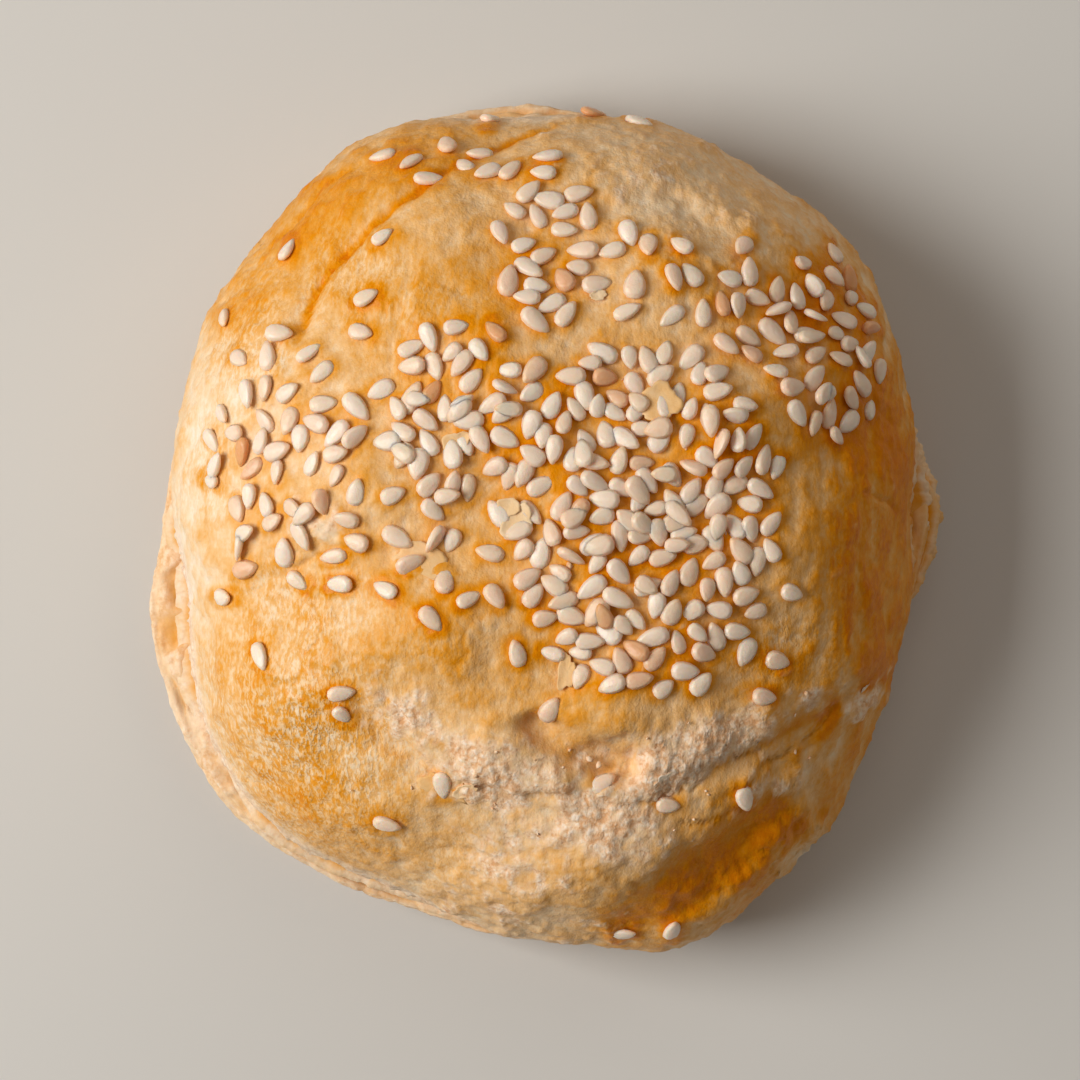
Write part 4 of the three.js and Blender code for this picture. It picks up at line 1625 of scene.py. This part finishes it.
class Desk:
    """Adds nodes to one tree."""

    def __init__(self, tree: bpy.types.NodeTree) -> None:
        """Takes a tree to work on."""
        self.tree = tree

    def node(self, kind: str, settings: dict | None = None, inputs: dict | None = None) -> bpy.types.Node:
        """Adds a node.

        Args:
            kind: The node's type.
            settings: What is set on the node, before its sockets.
            inputs: Values or links, by socket name or number.

        Returns:
            The node.
        """
        node = self.tree.nodes.new(kind)
        for name, value in (settings or {}).items():
            setattr(node, name, value)
        for key, value in (inputs or {}).items():
            if isinstance(value, Reading):
                self.tree.links.new(value.socket, node.inputs[key])
            elif isinstance(value, bpy.types.NodeSocket):
                self.tree.links.new(value, node.inputs[key])
            else:
                node.inputs[key].default_value = value
        return node

    def read(self, node: bpy.types.Node, output: str | int = 0) -> Reading:
        """An output of a node as a number."""
        return Reading(self, node.outputs[output])

    def layer(self, name: str) -> Reading:
        """A number that the mesh carries on its vertices."""
        return self.read(self.node("ShaderNodeAttribute", {"attribute_name": name}), "Fac")

    def ramp(self, factor: Reading, stops: tuple[tuple[float, tuple], ...]) -> bpy.types.NodeSocket:
        """A colour that depends on a number.

        Args:
            factor: The number, from 0 to 1.
            stops: Places along it, each with its colour.

        Returns:
            The colour's socket.
        """
        node = self.node("ShaderNodeValToRGB", inputs={"Fac": factor})
        elements = node.color_ramp.elements
        while len(elements) < len(stops):
            elements.new(0.5)
        for element, (place, colour) in zip(elements, stops):
            element.position = place
            element.color = colour
        return node.outputs["Color"]

    def mix(self, factor: Reading | float, a: object, b: object, blend: str = "MIX") -> bpy.types.NodeSocket:
        """Mixes two colours.

        Args:
            factor: How much of the second.
            a: The first colour or its socket.
            b: The second colour or its socket.
            blend: How they are mixed.

        Returns:
            The colour's socket.
        """
        settings = {"data_type": "RGBA", "blend_type": blend}
        return self.node("ShaderNodeMix", settings, {0: factor, 6: a, 7: b}).outputs[2]

    def noise(
        self, place: bpy.types.NodeSocket, size: float, detail: float = 3, rough: float = 0.55
    ) -> Reading:
        """Noise from 0 to 1 with cells of a size in millimetres."""
        inputs = {"Vector": place, "Scale": 1 / (size * MM), "Detail": detail, "Roughness": rough}
        return self.read(self.node("ShaderNodeTexNoise", inputs=inputs), "Fac")

    def crumbs(self, place: bpy.types.NodeSocket, size: float) -> Reading:
        """1 in the middle of each crumb of a size in millimetres, less towards its border."""
        inputs = {"Vector": place, "Scale": 1 / (size * MM), "Detail": 1.5, "Roughness": 0.6}
        return 1 - self.read(self.node("ShaderNodeTexVoronoi", inputs=inputs), "Distance")

    def turned(
        self, place: bpy.types.NodeSocket, turn: float, stretch: tuple[float, float, float]
    ) -> bpy.types.NodeSocket:
        """Coordinates turned about the vertical and scaled, for grain with a direction."""
        inputs = {"Vector": place, "Rotation": (0, 0, math.radians(turn)), "Scale": stretch}
        return self.node("ShaderNodeMapping", inputs=inputs).outputs[0]


def new_material(name: str) -> tuple[bpy.types.Material, Desk]:
    """An empty material and the desk for its tree."""
    material = bpy.data.materials.new(name)
    material.use_nodes = True
    material.node_tree.nodes.clear()
    return material, Desk(material.node_tree)


@dataclass(frozen=True)
class CrustFinish:
    """Baked dough: flour pale where bare, gold to brown where the wash has browned it."""

    name: str
    grain: float = 0.4
    mottle: float = 0.24
    grit_depth: float = 0.27
    wash_coat: float = 0.07
    dull: float = 0.6
    shiny: float = 0.28
    shine: float = 0.09
    glow: float = 0.06
    stops: tuple[tuple[float, tuple[int, int, int]], ...] = (
        (0.0, (248, 236, 220)),
        (0.16, (246, 225, 196)),
        (0.3, (243, 211, 169)),
        (0.44, (241, 194, 135)),
        (0.56, (235, 178, 105)),
        (0.68, (232, 161, 63)),
        (0.82, (230, 144, 4)),
        (1.0, (216, 117, 0)),
    )
    floury_stops: tuple[tuple[float, tuple[int, int, int]], ...] = (
        (0.34, (219, 158, 103)),
        (0.44, (243, 203, 164)),
        (0.56, (254, 235, 215)),
    )

    def tinted(self, stops: tuple[tuple[float, tuple[int, int, int]], ...]) -> tuple:
        """The stops of a ramp with their colours as shaders take them."""
        return tuple((place_on, tint(*colour)) for place_on, colour in stops)

    def build(self) -> bpy.types.Material:
        """Makes the material.

        Returns:
            The material, which reads the tone, bare, gloss and wrinkled that the mesh carries.
        """
        material, desk = new_material(self.name)
        place = desk.node("ShaderNodeTexCoord").outputs["Object"]
        bare, gloss = desk.layer("bare"), desk.layer("gloss")
        drawn = desk.turned(place, -14, (1.0, 0.42, 0.8))
        strokes = desk.noise(drawn, 0.36, 2, 0.6).step(0.38, 0.64)
        fibre = desk.noise(desk.turned(place, 6, (1.0, 0.3, 0.6)), 0.55, 2, 0.65)
        wrinkled = desk.layer("wrinkled") * (desk.noise(place, 3, 2, 0.5) + 0.5)
        crumbs = desk.crumbs(place, 0.8)
        fleck = desk.noise(place, 0.34, 2, 0.6)
        pore = desk.noise(place, 0.8, 3, 0.7)
        tone = desk.layer("tone") - (strokes - 0.5) * wrinkled * self.grain + (pore - 0.5) * self.mottle
        baked = desk.ramp(tone.held(), self.tinted(self.stops))
        flour_grain = pore * 0.35 + fibre * 0.2 + fleck * 0.25 + crumbs * 0.2 + 0.02
        floury = desk.ramp(flour_grain, self.tinted(self.floury_stops))
        colour = desk.mix(bare * 0.85, baked, floury)
        rough = self.dull + (self.shiny - self.dull) * gloss + (fleck - 0.5) * 0.3
        height = strokes * wrinkled * 0.25 + pore * 0.5 + fleck * 0.25 + fibre * 0.15 + crumbs * bare * 0.35
        bump = desk.node(
            "ShaderNodeBump", inputs={"Strength": 0.9, "Distance": self.grit_depth * MM, "Height": height}
        )
        inputs = {
            "Base Color": colour,
            "Roughness": rough.held(),
            "Specular IOR Level": self.shine,
            "Specular Tint": (1.0, 0.74, 0.36, 1.0),
            "Coat Weight": gloss * self.wash_coat + wrinkled * 0.22,
            "Coat Roughness": 0.2,
            "Subsurface Weight": self.glow,
            "Subsurface Radius": (1.0, 0.55, 0.28),
            "Subsurface Scale": 0.8 * MM,
            "Normal": bump.outputs[0],
        }
        shader = desk.node("ShaderNodeBsdfPrincipled", inputs=inputs)
        desk.node("ShaderNodeOutputMaterial", inputs={"Surface": shader.outputs[0]})
        return material


@dataclass(frozen=True)
class SesameFinish:
    """Hulled sesame: ivory, a few toasted, with a finer line along the edge."""

    name: str = "hulled_sesame"
    ivory: tuple[int, int, int] = (254, 231, 214)
    cream: tuple[int, int, int] = (248, 206, 170)
    toasted: tuple[int, int, int] = (228, 164, 104)
    edge: tuple[int, int, int] = (232, 184, 126)

    def build(self) -> bpy.types.Material:
        """Makes the material.

        Returns:
            The material, which reads each seed's toast and shade, and where on the seed it is.
        """
        material, desk = new_material(self.name)
        place = desk.node("ShaderNodeTexCoord").outputs["Object"]
        toast, shade = desk.layer("toast"), desk.layer("shade")
        rim, along = desk.layer("rim"), desk.layer("along")
        cloud = desk.noise(place, 0.7, 2)
        fine = desk.noise(place, 0.16, 2)
        cream = (shade * 0.18 + 0.22 + (cloud - 0.5) * 0.6 + along.step(0.45, 1.0) * 0.4).held()
        colour = desk.mix(cream, tint(*self.ivory), tint(*self.cream))
        brown = (toast + (cloud - 0.5) * 0.3 * toast + along.step(0.5, 1.0) * 0.1).held()
        colour = desk.mix(brown, colour, tint(*self.toasted))
        edge = rim.step(0.7, 1.0) * 0.22
        colour = desk.mix(edge, colour, tint(*self.edge), "MULTIPLY")
        brim = rim.step(0.3, 0.6) - rim.step(0.6, 0.85)
        bump = desk.node(
            "ShaderNodeBump", inputs={"Strength": 0.6, "Distance": 0.06 * MM, "Height": fine + cloud + brim}
        )
        inputs = {
            "Base Color": colour,
            "Roughness": 0.34 + (cloud - 0.5) * 0.3,
            "Subsurface Weight": 0.6,
            "Subsurface Radius": (1.0, 0.64, 0.42),
            "Subsurface Scale": 0.9 * MM,
            "Normal": bump.outputs[0],
        }
        shader = desk.node("ShaderNodeBsdfPrincipled", inputs=inputs)
        desk.node("ShaderNodeOutputMaterial", inputs={"Surface": shader.outputs[0]})
        return material


@dataclass(frozen=True)
class FloorFinish:
    """A plain pale floor."""

    name: str = "pale_floor"
    colour: tuple[int, int, int] = (214, 212, 208)

    def build(self) -> bpy.types.Material:
        """Makes the material."""
        material, desk = new_material(self.name)
        inputs = {"Base Color": tint(*self.colour), "Roughness": 0.8}
        shader = desk.node("ShaderNodeBsdfPrincipled", inputs=inputs)
        desk.node("ShaderNodeOutputMaterial", inputs={"Surface": shader.outputs[0]})
        return material


# ---------------------------------------------------------------- geometry node trees


@dataclass
class ScatterTree:
    """A geometry tree that sets one small shape on every point of a mesh, turned and stretched."""

    name: str
    sizes: dict[str, float]

    def open(self) -> Desk:
        """Starts the tree with its named inputs.

        Returns:
            The desk of the new tree.
        """
        tree = bpy.data.node_groups.new(self.name, "GeometryNodeTree")
        face = tree.interface
        face.new_socket("Geometry", in_out="INPUT", socket_type="NodeSocketGeometry")
        for label in self.sizes:
            face.new_socket(label, in_out="INPUT", socket_type="NodeSocketFloat")
        face.new_socket("Geometry", in_out="OUTPUT", socket_type="NodeSocketGeometry")
        self.desk = Desk(tree)
        self.entry = self.desk.node("NodeGroupInput")
        return self.desk

    def size(self, label: str) -> Reading:
        """A named input of the tree as a number."""
        return self.desk.read(self.entry, label)

    def named(self, label: str, kind: str = "FLOAT_VECTOR") -> bpy.types.NodeSocket:
        """What the points carry under a name."""
        settings = {"data_type": kind}
        return self.desk.node("GeometryNodeInputNamedAttribute", settings, {"Name": label}).outputs[0]

    def store(self, shape: bpy.types.NodeSocket, label: str, value: Reading) -> bpy.types.NodeSocket:
        """Keeps a number on the shape's vertices for its shader."""
        inputs = {"Geometry": shape, "Name": label, "Value": value}
        settings = {"data_type": "FLOAT", "domain": "POINT"}
        return self.desk.node("GeometryNodeStoreNamedAttribute", settings, inputs).outputs[0]

    def close(self, shape: bpy.types.NodeSocket, material: bpy.types.Material) -> None:
        """Sets the shape on the points, makes it real and gives it its material.

        Args:
            shape: The one small shape.
            material: What it is dressed in.
        """
        desk = self.desk
        turn = desk.node("FunctionNodeEulerToRotation", inputs={0: self.named("turn")}).outputs[0]
        inputs = {
            "Points": self.entry.outputs["Geometry"],
            "Instance": shape,
            "Rotation": turn,
            "Scale": self.named("stretch"),
        }
        placed = desk.node("GeometryNodeInstanceOnPoints", inputs=inputs).outputs[0]
        real = desk.node("GeometryNodeRealizeInstances", inputs={"Geometry": placed}).outputs[0]
        inputs = {"Geometry": real, "Material": material}
        dressed = desk.node("GeometryNodeSetMaterial", inputs=inputs).outputs[0]
        desk.node("NodeGroupOutput", inputs={"Geometry": dressed})

    def apply(self, points: bpy.types.Object, piece_name: str) -> bpy.types.Object:
        """Runs the tree on points and keeps the result as a plain mesh.

        Args:
            points: The object that carries the points.
            piece_name: The finished piece's name.

        Returns:
            The finished piece.
        """
        tree = self.desk.tree
        modifier = points.modifiers.new(self.name, "NODES")
        modifier.node_group = tree
        for item in tree.interface.items_tree:
            if item.in_out == "INPUT" and item.name in self.sizes:
                modifier[item.identifier] = self.sizes[item.name]
        bpy.context.view_layer.update()
        depsgraph = bpy.context.evaluated_depsgraph_get()
        evaluated = points.evaluated_get(depsgraph)
        mesh = bpy.data.meshes.new_from_object(evaluated, preserve_all_data_layers=True, depsgraph=depsgraph)
        mesh.name = piece_name
        mesh.shade_smooth()
        piece = bpy.data.objects.new(piece_name, mesh)
        bpy.context.scene.collection.objects.link(piece)
        bpy.data.objects.remove(points)
        return piece


def point_cloud(name: str, places: Numbers, turns: Numbers, stretches: Numbers) -> bpy.types.Object:
    """Points that carry a turn and a stretch each.

    Args:
        name: The object's name.
        places: Rows of x, y and z in millimetres.
        turns: Rows of Euler angles.
        stretches: Rows of scales.

    Returns:
        An object with one loose vertex for each point.
    """
    points = make_object(name, places, [])
    for label, rows in (("turn", turns), ("stretch", stretches)):
        layer = points.data.attributes.new(label, "FLOAT_VECTOR", "POINT")
        layer.data.foreach_set("vector", np.asarray(rows, np.float32).ravel())
    return points


@dataclass
class Sesame:
    """Every seed, as one piece."""

    form: PastryForm
    skin: CrustSkin
    seeds: list[Seed]
    fall: SesameFall = field(default_factory=SesameFall)
    name: str = "sesame_seeds"
    sides: int = 8
    bands: int = 7
    slimmer: float = 0.82
    shorter: float = 0.95
    narrower: float = 0.96
    point: float = 0.27
    nose: float = 0.16
    show: float = 0.2
    slope_step: float = 0.6
    uneven: float = 0.06
    most_uneven: float = 0.14
    full_flanks: float = 0.3
    random_start: int = 7

    def tree(self, material: bpy.types.Material) -> ScatterTree:
        """Builds the tree that shapes a seed and sets it on the points."""
        sizes = {
            "Length": self.shorter * self.fall.length * MM,
            "Width": self.narrower * self.fall.width * MM,
            "Thickness": self.slimmer * self.fall.thickness * MM,
            "Point": self.point,
            "Nose": self.nose,
        }
        tree = ScatterTree("sesame_fall", sizes)
        desk = tree.open()
        inputs = {"Segments": self.sides, "Rings": self.bands, "Radius": 1.0}
        ball = desk.node("GeometryNodeMeshUVSphere", inputs=inputs).outputs[0]
        place = desk.node("GeometryNodeInputPosition").outputs[0]
        parts = desk.node("ShaderNodeSeparateXYZ", inputs={0: place})
        across, through, along = (desk.read(parts, axis) for axis in range(3))
        edge = 1 - through * through
        shape = tree.store(ball, "along", along)
        shape = tree.store(shape, "rim", edge)
        cube = along * along * along
        narrow = 1 - tree.size("Point") * along - tree.size("Nose") * cube
        flat = through * ((1 + self.full_flanks) - self.full_flanks * through * through)
        inputs = {
            0: along * (tree.size("Length") * 0.5),
            1: across * narrow * (tree.size("Width") * 0.5),
            2: flat * narrow * (tree.size("Thickness") * 0.5),
        }
        moved = desk.node("ShaderNodeCombineXYZ", inputs=inputs).outputs[0]
        inputs = {"Geometry": shape, "Position": moved}
        shape = desk.node("GeometryNodeSetPosition", inputs=inputs).outputs[0]
        tree.close(shape, material)
        return tree

    def poses(self) -> tuple[Numbers, Numbers]:
        """Where each seed's middle is, in millimetres, and each seed's Euler angles."""
        step = self.slope_step
        x = np.array([seed.x for seed in self.seeds])
        y = np.array([seed.y for seed in self.seeds])
        height = self.form.height_over(x, y)
        rise = self.skin.at(np.stack([x, y, height], -1)).rise
        slope_x = self.form.height_over(x + step, y) - self.form.height_over(x - step, y)
        slope_y = self.form.height_over(x, y + step) - self.form.height_over(x, y - step)
        middles, turns = [], []
        for order, seed in enumerate(self.seeds):
            normal = Vector((-slope_x[order], -slope_y[order], 2 * step)).normalized()
            lie = Vector((0, 0, 1)).rotation_difference(normal).to_matrix()
            turn = (
                Matrix.Rotation(seed.heading, 3, "Z")
                @ Matrix.Rotation(seed.roll, 3, "Y")
                @ Matrix.Rotation(seed.tip, 3, "X")
            )
            lift = self.show + seed.lift + rise[order]
            middles.append(Vector((seed.x, seed.y, height[order])) + normal * lift)
            turns.append(tuple((lie @ turn).to_euler("XYZ")))
        return np.array(middles), np.array(turns)

    def build(self, material: bpy.types.Material) -> bpy.types.Object:
        """Makes the seeds.

        Args:
            material: What they are dressed in.

        Returns:
            One mesh of all seeds.
        """
        source = np.random.default_rng(self.random_start)
        middles, turns = self.poses()
        slim = source.normal(1, self.uneven, size=(len(self.seeds), 3))
        slim = np.clip(slim, 1 - self.most_uneven, 1 + self.most_uneven)
        stretches = slim * np.array([[seed.size] for seed in self.seeds])
        points = point_cloud("sesame_points", middles, turns, stretches)
        for label in ("toast", "shade"):
            layer = points.data.attributes.new(label, "FLOAT", "POINT")
            layer.data.foreach_set("value", np.array([getattr(s, label) for s in self.seeds], np.float32))
        return self.tree(material).apply(points, self.name)


@dataclass
class Crumbs:
    """Crumbs of the skin, spread over the crust where it has cracked and among the sesame."""

    form: PastryForm
    name: str = "crust_crumbs"
    count: int = 46
    size: float = 0.42
    ragged: float = 0.7
    lift: float = 0.15
    spread: float = 0.6
    random_start: int = 33
    centres: tuple[Stain, ...] = (
        Stain(0, -26, 16, 6, 0, 0.5),
        Stain(20, -21, 10, 4, 25, 0.2),
        Stain(6, 2, 14, 12, 0, 0.2),
        Stain(-4, 1, 2.4, 2, 0, 0.1),
    )

    def tree(self, material: bpy.types.Material) -> ScatterTree:
        """Builds the tree that shapes a crumb and sets it on the points."""
        tree = ScatterTree("crumb_fall", {"Size": self.size * MM, "Ragged": self.ragged})
        desk = tree.open()
        ball = desk.node("GeometryNodeMeshIcoSphere", inputs={"Radius": 1.0, "Subdivisions": 2}).outputs[0]
        place = desk.node("GeometryNodeInputPosition").outputs[0]
        lumps = desk.read(desk.node("ShaderNodeTexNoise", inputs={"Vector": place, "Scale": 1.3}), 0)
        grow = (1 + (lumps - 0.5) * (tree.size("Ragged") * 2)) * tree.size("Size")
        moved = desk.node("ShaderNodeVectorMath", {"operation": "SCALE"}, {0: place, "Scale": grow})
        inputs = {"Geometry": ball, "Position": moved.outputs[0]}
        shape = desk.node("GeometryNodeSetPosition", inputs=inputs).outputs[0]
        shape = tree.store(shape, "gloss", lumps * 0.2)
        shape = tree.store(shape, "bare", 0.7 + lumps * 0.4)
        shape = tree.store(shape, "tone", lumps * 0.3)
        tree.close(shape, material)
        return tree

    def build(self, material: bpy.types.Material) -> bpy.types.Object:
        """Makes the crumbs.

        Args:
            material: What they are dressed in.

        Returns:
            One mesh of all crumbs.
        """
        source = np.random.default_rng(self.random_start)
        weights = np.array([centre.amount for centre in self.centres])
        chosen = source.choice(len(self.centres), self.count, p=weights / weights.sum())
        spread = source.normal(0, self.spread, size=(self.count, 2))
        x = np.array([self.centres[c].x + self.centres[c].half_x * s[0] for c, s in zip(chosen, spread)])
        y = np.array([self.centres[c].y + self.centres[c].half_y * s[1] for c, s in zip(chosen, spread)])
        height = self.form.height_over(x, y) + self.lift
        turns = source.uniform(0, 2 * math.pi, size=(self.count, 3))
        grow = 0.35 + 0.9 * source.uniform(size=(self.count, 1)) ** 3
        stretches = grow * source.uniform(0.3, 1.4, size=(self.count, 3))
        points = point_cloud("crumb_points", np.stack([x, y, height], -1), turns, stretches)
        return self.tree(material).apply(points, self.name)


# ---------------------------------------------------------------- camera, floor and light


@dataclass
class PhotoCamera:
    """Looks straight down, as the photograph does."""

    above: float = 500
    focus_height: float = 10
    field: float = 110.2
    sensor: float = 36
    centre: tuple[float, float] = (-0.36, -1.28)

    def build(self) -> bpy.types.Object:
        """Makes the camera and the scene's own."""
        data = bpy.data.cameras.new("photo_camera")
        data.sensor_width = self.sensor
        data.sensor_height = self.sensor
        data.lens = self.sensor * (self.above - self.focus_height) / self.field
        data.clip_start = 0.01
        camera = bpy.data.objects.new("photo_camera", data)
        x, y = (value - shift for value, shift in zip(self.centre, MIDDLE))
        camera.location = (x * MM, y * MM, self.above * MM)
        bpy.context.scene.collection.objects.link(camera)
        bpy.context.scene.camera = camera
        return camera


@dataclass
class Studio:
    """A pale floor under soft light that comes mainly from the upper left of the view."""

    floor_half: float = 900
    key_power: float = 4.05
    key_size: float = 380
    key_place: tuple[float, float, float] = (-490, 20, 450)
    key_colour: tuple[float, float, float] = (1.0, 0.977, 0.94)
    fill_power: float = 0.62
    fill_place: tuple[float, float, float] = (240, 400, 420)
    fill_colour: tuple[float, float, float] = (1.0, 0.89, 0.77)
    sky: float = 0.15
    sky_colour: tuple[float, float, float] = (1.0, 0.92, 0.83)

    def build(self) -> None:
        """Makes the floor, the lights and the surroundings' own glow."""
        half = self.floor_half
        corners = [(-half, -half, 0), (half, -half, 0), (half, half, 0), (-half, half, 0)]
        floor = make_object("pale_floor", np.array(corners, float), [[0, 1, 2, 3]])
        floor.data.materials.append(FloorFinish().build())
        self.lamp("key_light", self.key_place, self.key_power, self.key_size, self.key_colour)
        self.lamp("fill_light", self.fill_place, self.fill_power, 1.5 * self.key_size, self.fill_colour)
        world = bpy.data.worlds.new("soft_room")
        world.use_nodes = True
        backdrop = world.node_tree.nodes["Background"]
        backdrop.inputs["Color"].default_value = (*self.sky_colour, 1)
        backdrop.inputs["Strength"].default_value = self.sky
        bpy.context.scene.world = world
        bpy.context.scene.view_settings.view_transform = "Standard"

    def lamp(
        self,
        name: str,
        place: tuple[float, float, float],
        power: float,
        size: float,
        colour: tuple[float, float, float],
    ) -> None:
        """Makes one square soft light that points at the pastry.

        Args:
            name: What the light is called.
            place: Where it hangs.
            power: Its power in watts.
            size: Its side.
            colour: Its colour.
        """
        data = bpy.data.lights.new(name, "AREA")
        data.energy = power
        data.size = size * MM
        data.color = colour
        lamp = bpy.data.objects.new(name, data)
        lamp.location = Vector(place) * MM
        aim = Vector((0, 0, 15)) - Vector(place)
        lamp.rotation_euler = aim.to_track_quat("-Z", "Y").to_euler()
        bpy.context.scene.collection.objects.link(lamp)


# ---------------------------------------------------------------- all together


def main() -> None:
    """Builds the pastry, piece by piece, in its studio."""
    logging.basicConfig(level=logging.INFO, format="%(name)s: %(message)s")
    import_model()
    PhotoCamera().build()
    Studio().build()

    form = PastryForm()
    seeds = SesameFall().all_seeds(form)
    skin = CrustSkin(form, seeds)
    LOG.info("%d seeds", len(seeds))

    glazed = CrustFinish("glazed_crust").build()
    layered = CrustFinish("layered_dough", grain=0.12, mottle=0.16, grit_depth=0.16, wash_coat=0.05).build()
    ivory = SesameFinish().build()

    top = TopSheet(form, skin).build()
    top.data.materials.append(glazed)
    adopt(top, "pastry")
    for part in (LayeredSide(form), OpenLeaves(form), SkinScraps(form, skin)):
        piece = part.build()
        piece.data.materials.append(layered)
        adopt(piece)
    adopt(Sesame(form, skin, seeds).build(ivory))
    adopt(Crumbs(form).build(layered))


if __name__ == "__main__":
    main()
